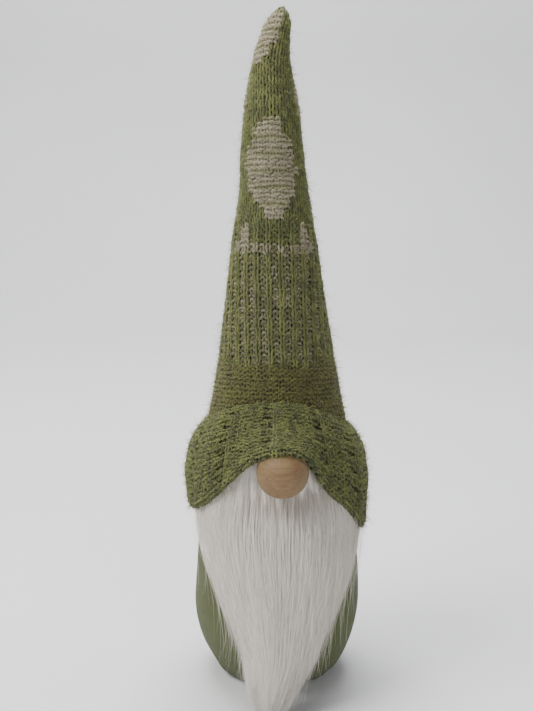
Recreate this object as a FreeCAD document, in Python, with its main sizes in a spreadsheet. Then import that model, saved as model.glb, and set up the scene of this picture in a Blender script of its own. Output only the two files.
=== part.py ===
"""Tomte gnome figurine: a weighted fleece body, a fur beard, a turned wooden nose and a tall knitted hat.

Millimetres, +Z up, the face looks along -Y, and the origin is the centre of the flat base.
The sheet holds the driving dimensions. Each corner of each sketch is bound to them.
"""
import FreeCAD, Part
import math
import os

import Sketcher

# ---------------------------------------------------------------- driving dimensions (mm)
SIZES = {
    # body cover: a stuffed fleece bag, flat underneath and tied at the neck
    "base_radius": 36.0,
    "belly_radius": 52.0,
    "belly_height": 48.0,
    "shoulder_radius": 41.0,
    "shoulder_height": 142.0,
    "dome_rise": 32.0,
    "neck_radius": 7.0,
    "neck_length": 6.0,
    "ruffle_radius": 14.0,
    "ruffle_rise": 8.0,
    "ruffle_lip": 2.0,
    "ruffle_curl": 3.0,
    "neck_wall": 2.0,
    "foot_inset": 1.0,
    "cover_wall": 1.6,
    # what keeps the body upright
    "disc_inset": 4.0,
    "disc_thickness": 1.5,
    "bag_height": 70.0,
    "bag_wall": 0.6,
    "bag_neck_radius": 6.0,
    "bag_neck_length": 4.0,
    "bag_flare": 3.0,
    "bag_flare_rise": 6.0,
    "bag_foot_spread": 2.0,
    "bag_belly_drop": 2.0,
    "tie_radius": 1.2,
    # nose: a turned ball with a flat back
    "nose_radius": 15.0,
    "nose_flat_depth": 12.5,
    "nose_rise": 7.0,
    "nose_forward": 21.0,
    "nose_shift": 2.5,
    "hood_rise": 2.0,
    "glue_radius": 7.0,
    "glue_thickness": 1.5,
    # hat: one knitted cone, its lower edge folded up as a cuff
    "knit_wall": 4.0,
    "waist_inset": 2.8,
    "waist_rise": 23.0,
    "hem_drop": 58.0,
    "cuff_proud": 5.6,
    "cuff_belly_drop": 16.0,
    "cuff_top_rise": 44.0,
    "cuff_top_proud": 6.0,
    "cuff_side_rise": 22.0,
    "cuff_top_slope": 0.45,
    "brim_side_drop": 42.0,
    "brim_slope": 0.2,
    "arch_shoulder_rise": 7.0,
    "hat_bend_rise": 70.0,
    "hat_bend_radius": 36.5,
    "slim_radius": 20.5,
    "slim_rise": 88.0,
    "tip_bend_rise": 126.0,
    "tip_bend_radius": 18.8,
    "tip_radius": 9.0,
    "tip_round_rise": 47.0,
    "cap_radius": 4.5,
    "tip_rise": 67.0,
    "wire_radius": 1.0,
    "wire_foot_gap": 2.0,
    "wire_tip_reach": 3.0,
    "wire_hole_reach": 4.0,
    "seam_thickness": 1.6,
    "seam_foot_gap": 1.0,
    "seam_turn_gap": 2.0,
    "seam_room": 8.0,
    # beard: long fur on a cloth backing, glued above the fold and hanging below it
    "fold_rise": 3.0,
    "backing_thickness": 1.5,
    "fur_top_thickness": 11.0,
    "fur_fold_thickness": 8.0,
    "fur_belly_proud": 16.0,
    "fur_foot_proud": 20.0,
    "fur_toe_inset": 6.0,
    "fur_toe_rise": 8.5,
    "beard_side_inset": 2.0,
    "beard_knee_width": 32.0,
    "beard_knee_height": 57.0,
    "beard_tip_width": 5.0,
    "beard_inset": 6.0,
    "floor_gap": 1.5,
    # clearances
    "skin_gap": 0.05,
    "flare_gap": 1.0,
    "flare_room": 2.0,
    "layer_gap": 0.3,
    "hat_gap": 1.15,
    "bag_gap": 0.9,
    "flap_gap": 1.3,
    "turning_gap": 0.3,
    "arch_gap": 0.4,
    "dome_gap": 4.0,
    "ruffle_gap": 1.5,
}

# Shapes of the round stretches: an arc's height over half its chord.
SIDE_SWELL = 0.16
TRUNK_SWELL = 0.04
DOME_SWELL = 0.35
BAG_SWELL = 0.4
CUFF_LOW_SWELL = 0.1
CUFF_HIGH_SWELL = 0.08
QUARTER = math.tan(math.radians(22.5))
ARCH_SIDE_SWELL = 0.12
ARCH_TOP_SWELL = 0.34
BEARD_SWELL = 0.12
TIP_TAPER = 3           # the backing's tip is less inset than its sides by this much
WEDGE_SLOPE = 0.9       # tangent of 42 degrees: the room that the beard needs to lift
SEAM_ANGLE = 5.0        # degrees that a seam covers round the hat
CLEAR = 120.0           # reach of the cutting solids past every surface
SAME_POINT = 1e-6


class Size:
    """A length with its value now and the sheet formula that FreeCAD binds it to."""

    def __init__(self, value, formula=None):
        self.value = float(value)
        self.formula = formula or repr(float(value))

    def _with(self, other, sign, value):
        return Size(value, f"({self.formula} {sign} {other.formula})")

    def __add__(self, other):
        other = as_size(other)
        return self._with(other, "+", self.value + other.value)

    def __sub__(self, other):
        other = as_size(other)
        return self._with(other, "-", self.value - other.value)

    def __mul__(self, other):
        other = as_size(other)
        return self._with(other, "*", self.value * other.value)

    def __truediv__(self, other):
        other = as_size(other)
        return self._with(other, "/", self.value / other.value)

    def __neg__(self):
        return self * -1

    def is_zero(self):
        return self.formula == "0.0"


def as_size(number):
    return number if isinstance(number, Size) else Size(number)


def root(size):
    return Size(math.sqrt(size.value), f"sqrt({size.formula})")


def leg(long_side, short_side):
    """The third side of a right triangle."""
    return root(long_side * long_side - short_side * short_side)


class Sheet:
    """The spreadsheet; each of its aliases is an attribute that gives a Size."""

    def __init__(self, doc):
        cells = doc.addObject("Spreadsheet::Sheet", "Sizes")
        for row, (alias, value) in enumerate(SIZES.items(), start=1):
            cells.set(f"A{row}", alias)
            cells.set(f"B{row}", str(value))
            cells.setAlias(f"B{row}", alias)
            setattr(self, alias, Size(value, f"Sizes.{alias}"))


class Outline:
    """A closed outline drawn counter-clockwise, each corner given as (across, up).

    A positive swell bows an edge outwards. A shell's inner side is drawn clockwise, so its swell
    is negative.
    """

    def __init__(self, across, up):
        self.corners = [(as_size(across), as_size(up))]
        self.middles = []

    def line(self, across, up):
        self.corners.append((as_size(across), as_size(up)))
        self.middles.append(None)
        return self

    def arc(self, across, up, middle_across, middle_up):
        self.line(across, up)
        self.middles[-1] = (as_size(middle_across), as_size(middle_up))
        return self

    def bow(self, across, up, swell):
        across, up = as_size(across), as_size(up)
        last_across, last_up = self.corners[-1]
        middle_across = (last_across + across) / 2 + (up - last_up) * (swell / 2)
        middle_up = (last_up + up) / 2 - (across - last_across) * (swell / 2)
        return self.arc(across, up, middle_across, middle_up)

    def draw(self, sketch):
        """Draw the edges and pin the corners; an outline may end on its first corner."""
        corners, middles = self.corners, self.middles
        if (vector(corners[-1]) - vector(corners[0])).Length < SAME_POINT:
            corners = corners[:-1]
        else:
            middles = middles + [None]
        ends = corners[1:] + corners[:1]
        joints = [draw_edge(sketch, *edge) for edge in zip(corners, ends, middles)]
        for (_, last), (first, _) in zip(joints, joints[1:] + joints[:1]):
            sketch.addConstraint(Sketcher.Constraint("Coincident", *last, *first))
        for (first, _), corner in zip(joints, corners):
            pin_point(sketch, first, corner)


def vector(corner):
    return FreeCAD.Vector(corner[0].value, corner[1].value, 0)


def draw_edge(sketch, start, end, middle):
    """Draw one line or arc and return its two ends as (geometry, point) pairs."""
    if middle is None:
        edge = sketch.addGeometry(Part.LineSegment(vector(start), vector(end)))
        return (edge, 1), (edge, 2)
    edge = sketch.addGeometry(Part.Arc(vector(start), vector(middle), vector(end)))
    via = sketch.addGeometry(Part.Point(vector(middle)), True)
    sketch.addConstraint(Sketcher.Constraint("PointOnObject", via, 1, edge))
    pin_point(sketch, (via, 1), middle)
    gaps = [(sketch.getPoint(edge, point) - vector(start)).Length for point in (1, 2)]
    first = 1 if gaps[0] < gaps[1] else 2
    return (edge, first), (edge, 3 - first)


def pin_point(sketch, point, corner):
    """Bind a point's two coordinates to their formulas, or put it on the axis it lies on."""
    for kind, coordinate, axis in zip(("DistanceX", "DistanceY"), corner, (-2, -1)):
        if coordinate.is_zero():
            sketch.addConstraint(Sketcher.Constraint("PointOnObject", *point, axis))
            continue
        place = sketch.addConstraint(
            Sketcher.Constraint(kind, -1, 1, *point, coordinate.value))
        name = f"{kind}_{place}"
        sketch.renameConstraint(place, name)
        sketch.setExpression(f"Constraints.{name}", coordinate.formula)


# ---------------------------------------------------------------- kinds of piece
def add_sketch(body, plane_role, outline):
    sketch = body.newObject("Sketcher::SketchObject", f"{body.Name}_outline")
    plane = next(item for item in body.Origin.OriginFeatures if item.Role == plane_role)
    sketch.AttachmentSupport = (plane, [""])
    sketch.MapMode = "FlatFace"
    outline.draw(sketch)
    return sketch


def turned(doc, name, outline, plane_role="XZ_Plane", angle=360.0):
    """A body turned about its own upright axis; part turns are centred on the sketch's plane."""
    body = doc.addObject("PartDesign::Body", name)
    sketch = add_sketch(body, plane_role, outline)
    turn = body.newObject("PartDesign::Revolution", f"{name}_turn")
    turn.Profile = sketch
    turn.ReferenceAxis = (sketch, ["V_Axis"])
    turn.Angle = angle
    turn.Midplane = angle < 360.0
    return body


def seen_from_front(doc, name, outline):
    """A prism with this outline in front view, from the middle of the figure forwards."""
    body = doc.addObject("PartDesign::Body", name)
    pad = body.newObject("PartDesign::Pad", f"{name}_pad")
    pad.Profile = add_sketch(body, "XZ_Plane", outline)
    pad.Length = CLEAR
    return body


def seen_from_side(doc, name, outline):
    """A prism with this outline in side view, right across the figure."""
    body = doc.addObject("PartDesign::Body", name)
    pad = body.newObject("PartDesign::Pad", f"{name}_pad")
    pad.Profile = add_sketch(body, "YZ_Plane", outline)
    pad.Length = 2 * CLEAR
    pad.Midplane = True
    return body


def primitive(doc, kind, name, sizes, place=None):
    """A Part primitive with its sizes, and its position when it has one, bound to formulas."""
    solid = doc.addObject(f"Part::{kind}", name)
    for label, size in sizes.items():
        solid.setExpression(label, size.formula)
    for label, size in zip("xyz", place or ()):
        solid.setExpression(f"Placement.Base.{label}", as_size(size).formula)
    return solid


def joined(doc, name, solids):
    fuse = doc.addObject("Part::MultiFuse", name)
    fuse.Shapes = solids
    return fuse


def shared(doc, name, solids):
    common = doc.addObject("Part::MultiCommon", name)
    common.Shapes = solids
    return common


def trimmed(doc, name, solid, cutter):
    cut = doc.addObject("Part::Cut", name)
    cut.Base = solid
    cut.Tool = cutter
    return cut


# ---------------------------------------------------------------- places worked out from the sizes
class Places:
    """Heights and radii that several pieces share."""

    def __init__(self, size):
        self.neck = size.shoulder_height + size.dome_rise
        self.ruffle_foot = self.neck + size.neck_length
        self.ruffle_top = self.ruffle_foot + size.ruffle_rise + size.ruffle_lip
        self.bag_floor = size.cover_wall + size.disc_thickness + size.layer_gap
        self.bag_top = self.bag_floor + size.bag_height
        self.bag_radius = size.belly_radius - size.cover_wall - size.bag_gap
        self.bag_foot = size.base_radius - size.disc_inset + size.bag_foot_spread
        self.bag_belly = size.belly_height - size.bag_belly_drop
        self.under_neck = self.neck - size.neck_wall

        self.hem = size.shoulder_height - size.hem_drop
        self.waist = size.shoulder_height + size.waist_rise
        self.waist_radius = size.shoulder_radius - size.waist_inset
        self.hat_bend = size.shoulder_height + size.hat_bend_rise
        self.slim = self.hat_bend + size.slim_rise
        self.tip_bend = self.hat_bend + size.tip_bend_rise
        self.tip_round = self.tip_bend + size.tip_round_rise
        self.top = self.tip_bend + size.tip_rise
        self.cuff_side = size.shoulder_height + size.cuff_side_rise
        self.brim_side = size.shoulder_height - size.brim_side_drop

        self.nose_height = size.shoulder_height + size.nose_rise
        self.nose_y = -(size.shoulder_radius + size.nose_forward)
        self.nose = (size.nose_shift, self.nose_y, self.nose_height)

        self.fold = self.brim_side + size.fold_rise
        trunk_rise = size.shoulder_height - size.belly_height
        slope = (size.belly_radius - size.shoulder_radius) / trunk_rise
        self.fold_radius = (size.belly_radius - slope * (self.fold - size.belly_height)
                            + trunk_rise * (TRUNK_SWELL / 2))
        self.hinge_y = -(self.fold_radius + size.flap_gap + size.backing_thickness)


class Ball:
    """The ball surface on which one length of the hat turns on the length below it.

    The fabric's edge lies 60 degrees from the hat's axis, so its radius is sqrt(3)/2 of the
    ball's and its height above the centre is half of it.
    """

    def __init__(self, centre, radius, wall):
        self.centre = centre
        self.radius = radius
        self.outer = radius * math.sqrt(3) / 2
        self.inner = self.outer - wall

    def height(self, across):
        return self.centre + leg(self.radius, across)

    def point(self, across):
        return across, self.height(across)

    def arc_to(self, outline, start, end):
        """Continue an outline along the ball between two distances from the axis."""
        middle = (start + end) / 2
        return outline.arc(*self.point(end), *self.point(middle))


# ---------------------------------------------------------------- body
def body_cover(doc, size, at):
    wall = size.cover_wall
    inner_foot = size.base_radius - size.foot_inset
    outline = (
        Outline(0, 0)
        .line(size.base_radius, 0)
        .bow(size.belly_radius, size.belly_height, SIDE_SWELL)
        .bow(size.shoulder_radius, size.shoulder_height, TRUNK_SWELL)
        .bow(size.neck_radius, at.neck, DOME_SWELL)
        .line(size.neck_radius, at.ruffle_foot)
        .line(size.ruffle_radius, at.ruffle_top - size.ruffle_lip)
        .line(size.ruffle_radius - size.ruffle_curl, at.ruffle_top)
        .line(0, at.ruffle_top)
        .line(0, at.under_neck)
        .line(size.neck_radius - size.neck_wall, at.under_neck)
        .bow(size.shoulder_radius - wall, size.shoulder_height, -DOME_SWELL)
        .bow(size.belly_radius - wall, size.belly_height, -TRUNK_SWELL)
        .bow(inner_foot, wall, -SIDE_SWELL)
        .line(0, wall))
    return turned(doc, "body_cover", outline)


def base_disc(doc, size, at):
    """The stiff disc that keeps the base flat."""
    return primitive(doc, "Cylinder", "base_disc", {
        "Radius": size.base_radius - size.disc_inset,
        "Height": size.disc_thickness,
    }, (0, 0, size.cover_wall + size.layer_gap / 2))


def weight_bag(doc, size, at):
    wall, neck = size.bag_wall, size.bag_neck_radius
    neck_top = at.bag_top + size.bag_neck_length
    flare_top = neck_top + size.bag_flare_rise
    outline = (
        Outline(0, at.bag_floor)
        .line(at.bag_foot, at.bag_floor)
        .bow(at.bag_radius, at.bag_belly, SIDE_SWELL)
        .bow(neck, at.bag_top, BAG_SWELL)
        .line(neck, neck_top)
        .line(neck + size.bag_flare, flare_top)
        .line(neck + size.bag_flare - wall, flare_top)
        .line(neck - wall, neck_top)
        .line(neck - wall, at.bag_top - wall)
        .bow(at.bag_radius - wall, at.bag_belly, -BAG_SWELL)
        .bow(at.bag_foot - wall, at.bag_floor + wall, -SIDE_SWELL)
        .line(0, at.bag_floor + wall))
    return turned(doc, "weight_bag", outline)


def weight_fill(doc, size, at):
    """The pellets, packed to the bag's tied neck."""
    gap = size.bag_wall + size.layer_gap
    neck_foot = at.bag_top - gap * 2
    outline = (
        Outline(0, at.bag_floor + gap)
        .line(at.bag_foot - gap, at.bag_floor + gap)
        .bow(at.bag_radius - gap, at.bag_belly, SIDE_SWELL)
        .bow(size.bag_neck_radius - gap, neck_foot, BAG_SWELL)
        .line(0, neck_foot))
    return turned(doc, "weight_fill", outline)


def tie(doc, size, name, neck_radius, height):
    """A ring of cord pulled tight round a gathered neck."""
    return primitive(doc, "Torus", name, {
        "Radius1": neck_radius + size.tie_radius + size.skin_gap,
        "Radius2": size.tie_radius,
    }, (0, 0, height))


def body_stuffing(doc, size, at):
    gap = size.cover_wall + size.layer_gap
    hollow = size.bag_neck_radius + size.bag_flare + size.flare_gap
    hollow_top = at.bag_top + size.bag_neck_length + size.bag_flare_rise + size.flare_room
    dome = at.under_neck - size.layer_gap
    outline = (
        Outline(0, hollow_top)
        .line(hollow, hollow_top)
        .line(hollow, at.bag_top + size.flare_room)
        .bow(size.belly_radius - gap, size.belly_height, -BAG_SWELL)
        .bow(size.shoulder_radius - gap, size.shoulder_height, TRUNK_SWELL)
        .bow(size.neck_radius - size.neck_wall - size.layer_gap, dome, DOME_SWELL)
        .line(0, dome))
    return turned(doc, "body_stuffing", outline)


# ---------------------------------------------------------------- nose
def nose_ball(doc, size, at):
    """Turned about the front-to-back axis; the body's own up is the figure's forward."""
    flat = leg(size.nose_radius, size.nose_flat_depth)
    outline = (
        Outline(0, -size.nose_flat_depth)
        .line(flat, -size.nose_flat_depth)
        .arc(0, size.nose_radius, size.nose_radius, 0))
    ball = turned(doc, "nose_ball", outline)
    ball.Placement.Rotation = FreeCAD.Rotation(FreeCAD.Vector(1, 0, 0), 90)
    for label, place in zip("xyz", at.nose):
        ball.setExpression(f"Placement.Base.{label}", place.formula)
    return ball


def nose_glue(doc, size, at):
    shift, nose_y, height = at.nose
    pad = primitive(doc, "Cylinder", "nose_glue", {
        "Radius": size.glue_radius,
        "Height": size.glue_thickness,
    }, (shift, nose_y + size.nose_flat_depth + size.glue_thickness, height))
    pad.Placement.Rotation = FreeCAD.Rotation(FreeCAD.Vector(1, 0, 0), 90)
    return pad


def nose_room(doc, size, at, name):
    """The space that the nose and its glue take out of the fur and the brim."""
    shift, nose_y, height = at.nose
    ball = primitive(doc, "Sphere", f"{name}_ball",
                     {"Radius": size.nose_radius + size.layer_gap}, at.nose)
    pad = primitive(doc, "Cylinder", f"{name}_pad", {
        "Radius": size.glue_radius + size.layer_gap,
        "Height": size.nose_radius,
    }, (shift, nose_y + size.nose_flat_depth + size.glue_thickness + size.layer_gap, height))
    pad.Placement.Rotation = FreeCAD.Rotation(FreeCAD.Vector(1, 0, 0), 90)
    return joined(doc, name, [ball, pad])


# ---------------------------------------------------------------- hat
def hat_wall_base(doc, size, at, ball):
    """The single layer: over the shoulders, in to the waist and up to the first bend."""
    hem_radius = size.belly_radius
    shoulder = size.shoulder_radius + size.hat_gap
    wall = size.knit_wall
    outline = (
        Outline(hem_radius + wall, at.hem)
        .line(shoulder + wall, size.shoulder_height)
        .line(at.waist_radius + wall, at.waist)
        .line(*ball.point(ball.outer)))
    ball.arc_to(outline, ball.outer, ball.inner)
    outline.line(at.waist_radius, at.waist)
    outline.line(shoulder, size.shoulder_height)
    outline.line(hem_radius, at.hem)
    return turned(doc, "hat_wall_turned", outline)


def cuff(doc, size, at):
    """The folded-up edge, higher in front than behind."""
    inset = size.knit_wall / 2
    outline = (
        Outline(size.belly_radius + inset, at.hem)
        .line(size.belly_radius + size.knit_wall, at.hem)
        .bow(size.belly_radius + size.cuff_proud,
             size.shoulder_height - size.cuff_belly_drop, CUFF_LOW_SWELL)
        .bow(at.waist_radius + size.cuff_top_proud,
             size.shoulder_height + size.cuff_top_rise, CUFF_HIGH_SWELL)
        .line(at.waist_radius - inset, size.shoulder_height + size.cuff_top_rise)
        .line(at.waist_radius + inset, at.waist)
        .line(size.shoulder_radius + size.hat_gap + inset, size.shoulder_height))
    band = turned(doc, "cuff_turned", outline)
    drop = size.cuff_top_slope * CLEAR
    above = (
        Outline(-CLEAR, at.cuff_side + drop)
        .line(CLEAR, at.cuff_side - drop)
        .line(CLEAR, at.cuff_side + CLEAR)
        .line(-CLEAR, at.cuff_side + CLEAR))
    return trimmed(doc, "cuff_band", band, seen_from_side(doc, "cuff_above", above))


def brim_hood(doc, size, at, ball):
    """The front of the cuff, pushed out over the nose as a shell of knit."""
    shift, nose_y, height = at.nose
    centre = (shift, nose_y + size.nose_radius, height + size.hood_rise)
    outside = primitive(doc, "Sphere", "hood_outside", {"Radius": size.nose_radius * 2}, centre)
    inside = primitive(doc, "Sphere", "hood_inside",
                       {"Radius": size.nose_radius * 2 - size.knit_wall}, centre)
    shell = trimmed(doc, "hood_shell", outside, inside)
    half_wall = size.knit_wall / 2
    core = (
        Outline(0, at.hem)
        .line(size.belly_radius + half_wall, at.hem)
        .line(size.shoulder_radius + size.hat_gap + half_wall, size.shoulder_height)
        .line(at.waist_radius + half_wall, at.waist)
        .line(ball.outer - half_wall, ball.height(ball.outer))
        .line(0, ball.height(ball.outer)))
    return trimmed(doc, "brim_hood", shell, turned(doc, "hat_core", core))


def arch_outline(size, at, inset):
    """The opening of the brim over the face, in front view."""
    foot = size.belly_radius - inset
    shoulder = size.nose_radius + 1 - inset
    shoulder_height = at.nose_height + size.arch_shoulder_rise - inset
    side = as_size(CLEAR) - inset
    return (
        Outline(-side, -CLEAR)
        .line(side, -CLEAR)
        .line(side, at.brim_side - inset)
        .line(foot, at.brim_side + size.fold_rise / 2 - inset)
        .bow(shoulder, shoulder_height, ARCH_SIDE_SWELL)
        .bow(-shoulder, shoulder_height, ARCH_TOP_SWELL)
        .bow(-foot, at.brim_side + size.fold_rise / 2 - inset, ARCH_SIDE_SWELL)
        .line(-side, at.brim_side - inset))


def hat_knit_base(doc, size, at, ball):
    layers = joined(doc, "hat_layers", [
        hat_wall_base(doc, size, at, ball), cuff(doc, size, at), brim_hood(doc, size, at, ball)])
    drop = size.brim_slope * CLEAR
    below = (
        Outline(-CLEAR, at.brim_side + drop)
        .line(-CLEAR, -CLEAR)
        .line(CLEAR, -CLEAR)
        .line(CLEAR, at.brim_side - drop))
    opening = joined(doc, "hat_opening", [
        seen_from_side(doc, "hat_below", below),
        seen_from_front(doc, "hat_arch", arch_outline(size, at, as_size(0))),
        nose_room(doc, size, at, "hat_nose_room")])
    return trimmed(doc, "hat_knit_base", layers, opening)


def hat_knit_middle(doc, size, at, low, high):
    wall = size.knit_wall
    outline = Outline(*low.point(low.inner))
    low.arc_to(outline, low.inner, low.outer)
    outline.line(size.slim_radius, at.slim)
    outline.line(*high.point(high.outer))
    high.arc_to(outline, high.outer, high.inner)
    outline.line(size.slim_radius - wall, at.slim)
    return turned(doc, "hat_knit_middle", outline)


def hat_knit_tip(doc, size, at, low):
    wall = size.knit_wall
    outline = Outline(*low.point(low.inner))
    low.arc_to(outline, low.inner, low.outer)
    outline.line(size.tip_radius, at.tip_round)
    outline.line(size.cap_radius, at.top - size.cap_radius)
    outline.bow(0, at.top, QUARTER)
    outline.line(0, at.top - wall)
    outline.bow(size.cap_radius / 2, at.top - wall - size.cap_radius / 2, -QUARTER)
    outline.line(size.tip_radius - wall, at.tip_round)
    return turned(doc, "hat_knit_tip", outline)


def hat_stuffing_base(doc, size, at, ball):
    gap = size.layer_gap
    hole = size.wire_radius + gap
    hollow = size.ruffle_radius + size.ruffle_gap
    foot = (at.waist_radius - gap, at.waist - size.dome_gap)
    outline = Outline(*foot)
    outline.line(at.waist_radius - gap, at.waist)
    outline.line(*ball.point(ball.inner - gap))
    ball.arc_to(outline, ball.inner - gap, hole)
    outline.line(hole, at.ruffle_top + 1)
    outline.line(hollow, at.ruffle_top + 1)
    outline.line(hollow, at.neck + size.dome_gap + 1)
    return turned(doc, "hat_stuffing_base", outline)


def hat_stuffing_middle(doc, size, at, low, high):
    gap = size.layer_gap
    hole = size.wire_radius + gap
    outline = Outline(*low.point(hole))
    low.arc_to(outline, hole, low.inner - gap)
    outline.line(size.slim_radius - size.knit_wall - gap, at.slim)
    outline.line(*high.point(high.inner - gap))
    high.arc_to(outline, high.inner - gap, hole)
    return turned(doc, "hat_stuffing_middle", outline)


def hat_stuffing_tip(doc, size, at, low):
    gap = size.layer_gap
    hole = size.wire_radius + gap
    radius = size.tip_radius - size.knit_wall - gap
    outline = Outline(*low.point(hole))
    low.arc_to(outline, hole, low.inner - gap)
    outline.line(radius, at.tip_round)
    outline.line(size.cap_radius / 2, at.top - size.knit_wall - size.cap_radius)
    outline.line(0, at.top - size.knit_wall - size.cap_radius)
    outline.line(0, at.tip_round + size.wire_hole_reach)
    outline.line(hole, at.tip_round + size.wire_hole_reach)
    return turned(doc, "hat_stuffing_tip", outline)


def hat_wires(doc, size, at, low, high, turning):
    """The spine wire, one straight length for each length of the hat."""
    lengths = {
        "hat_wire_base": (at.ruffle_top + size.wire_foot_gap,
                          low.centre + low.radius - turning),
        "hat_wire_middle": (low.centre + low.radius + turning * 2,
                            high.centre + high.radius - turning),
        "hat_wire_tip": (high.centre + high.radius + turning * 2,
                         at.tip_round + size.wire_tip_reach),
    }
    return [
        primitive(doc, "Cylinder", name,
                  {"Radius": size.wire_radius, "Height": end - start}, (0, 0, start))
        for name, (start, end) in lengths.items()]


def on_line(start, end, height):
    """The point at this height on the straight line from start to end."""
    share = (height - start[1]) / (end[1] - start[1])
    return start[0] + (end[0] - start[0]) * share, height


def seam(doc, size, name, points):
    """A ridge of sewing yarn up the back, following these points of the hat's surface."""
    inside = [(across + size.skin_gap, up) for across, up in points]
    outline = Outline(*inside[0])
    for across, up in points:
        outline.line(across + size.seam_thickness, up)
    for across, up in reversed(inside[1:]):
        outline.line(across, up)
    return turned(doc, name, outline, "YZ_Plane", SEAM_ANGLE)


def hat_seams(doc, size, at, balls):
    """The seam stops short of each bend, so that the length above it can turn."""
    low, low_turning, high, high_turning = balls
    waist = (at.waist_radius + size.knit_wall, at.waist)
    slim = (size.slim_radius, at.slim)
    tip_round = (size.tip_radius, at.tip_round)
    low_edge, high_edge = low.point(low.outer), high.point(high.outer)
    middle_foot = low_turning.point(low_turning.outer)
    tip_foot = high_turning.point(high_turning.outer)
    return [
        seam(doc, size, "hat_seam_base", [
            on_line(waist, low_edge, at.waist + size.seam_foot_gap),
            on_line(waist, low_edge, low_edge[1] - size.seam_room)]),
        seam(doc, size, "hat_seam_middle", [
            on_line(middle_foot, slim, middle_foot[1] + size.seam_turn_gap),
            slim,
            on_line(slim, high_edge, high_edge[1] - size.seam_room)]),
        seam(doc, size, "hat_seam_tip", [
            on_line(tip_foot, tip_round, tip_foot[1] + size.seam_turn_gap),
            tip_round])]


# ---------------------------------------------------------------- beard
def backing_layer(doc, size, name, inner):
    """Cloth that follows the body cover at this distance and hangs straight below the belly."""
    outer = inner + size.backing_thickness
    outline = (
        Outline(size.belly_radius + inner, 0)
        .line(size.belly_radius + outer, 0)
        .line(size.belly_radius + outer, size.belly_height)
        .bow(size.shoulder_radius + outer, size.shoulder_height, TRUNK_SWELL)
        .line(size.shoulder_radius + inner, size.shoulder_height)
        .bow(size.belly_radius + inner, size.belly_height, -TRUNK_SWELL))
    return turned(doc, name, outline)


def beard_front(size, inset, low, high):
    """The beard's pointed outline in front view, between two heights."""
    side = size.belly_radius - size.beard_side_inset - inset
    knee = size.beard_knee_width - inset
    tip = size.beard_tip_width - inset / TIP_TAPER
    return (
        Outline(-tip, low)
        .line(tip, low)
        .line(knee, size.beard_knee_height)
        .bow(side, high, BEARD_SWELL)
        .line(-side, high)
        .bow(-knee, size.beard_knee_height, BEARD_SWELL))


def beard_backing(doc, size, at):
    front = beard_front(size, size.beard_inset, size.floor_gap + size.beard_inset, at.fold)
    return shared(doc, "beard_backing", [
        backing_layer(doc, size, "backing_layer", size.flap_gap),
        seen_from_front(doc, "backing_front", front)])


def beard_fur(doc, size, at):
    inner = size.flap_gap + size.backing_thickness + size.layer_gap * 2
    fold_outer = at.fold_radius + size.fur_fold_thickness + inner
    foot = size.belly_radius + size.fur_foot_proud
    outline = (
        Outline(size.belly_radius + inner, 0)
        .line(foot - size.fur_toe_inset, 0)
        .line(foot, size.floor_gap + size.fur_toe_rise)
        .line(size.belly_radius + size.fur_belly_proud, size.belly_height)
        .line(fold_outer, at.fold)
        .line(fold_outer, size.shoulder_height)
        .line(size.shoulder_radius + inner, size.shoulder_height)
        .bow(size.belly_radius + inner, size.belly_height, -TRUNK_SWELL))
    front = beard_front(size, as_size(0), size.floor_gap, at.fold)
    return shared(doc, "beard_fur", [
        turned(doc, "fur_layer", outline), seen_from_front(doc, "fur_front", front)])


def above_fold(doc, size, at, name):
    """What lies above the fold, with a wedge of room in front for the beard to lift."""
    low = at.fold + size.turning_gap
    outline = (
        Outline(at.hinge_y - CLEAR, low + WEDGE_SLOPE * CLEAR)
        .line(at.hinge_y, low)
        .line(-size.arch_gap, low)
        .line(-size.arch_gap, low + 2 * CLEAR)
        .line(at.hinge_y - CLEAR, low + 2 * CLEAR))
    return seen_from_side(doc, name, outline)


def beard_backing_top(doc, size, at):
    front = arch_outline(size, at, size.arch_gap * 3)
    return shared(doc, "beard_backing_top", [
        backing_layer(doc, size, "backing_top_layer", size.layer_gap),
        seen_from_front(doc, "backing_top_front", front),
        above_fold(doc, size, at, "backing_top_above")])


def beard_fur_top(doc, size, at):
    """The fur glued round the nose, between the body cover and the arch of the brim."""
    inner = size.layer_gap + size.backing_thickness + size.layer_gap
    top = at.nose_height + size.nose_radius / 2
    fold_outer = at.fold_radius + size.fur_top_thickness + inner
    outline = (
        Outline(size.belly_radius + inner, size.belly_height)
        .line(fold_outer, size.belly_height)
        .line(fold_outer, at.fold)
        .line(size.shoulder_radius + size.fur_top_thickness, top)
        .line(size.shoulder_radius - inner * 2, top)
        .line(size.shoulder_radius + inner, size.shoulder_height)
        .bow(size.belly_radius + inner, size.belly_height, -TRUNK_SWELL))
    layer = turned(doc, "fur_top_layer", outline)
    fur = shared(doc, "fur_top_region", [
        layer, seen_from_front(doc, "fur_top_front", arch_outline(size, at, size.arch_gap)),
        above_fold(doc, size, at, "fur_top_above")])
    return trimmed(doc, "beard_fur_top", fur, nose_room(doc, size, at, "fur_nose_room"))


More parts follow.
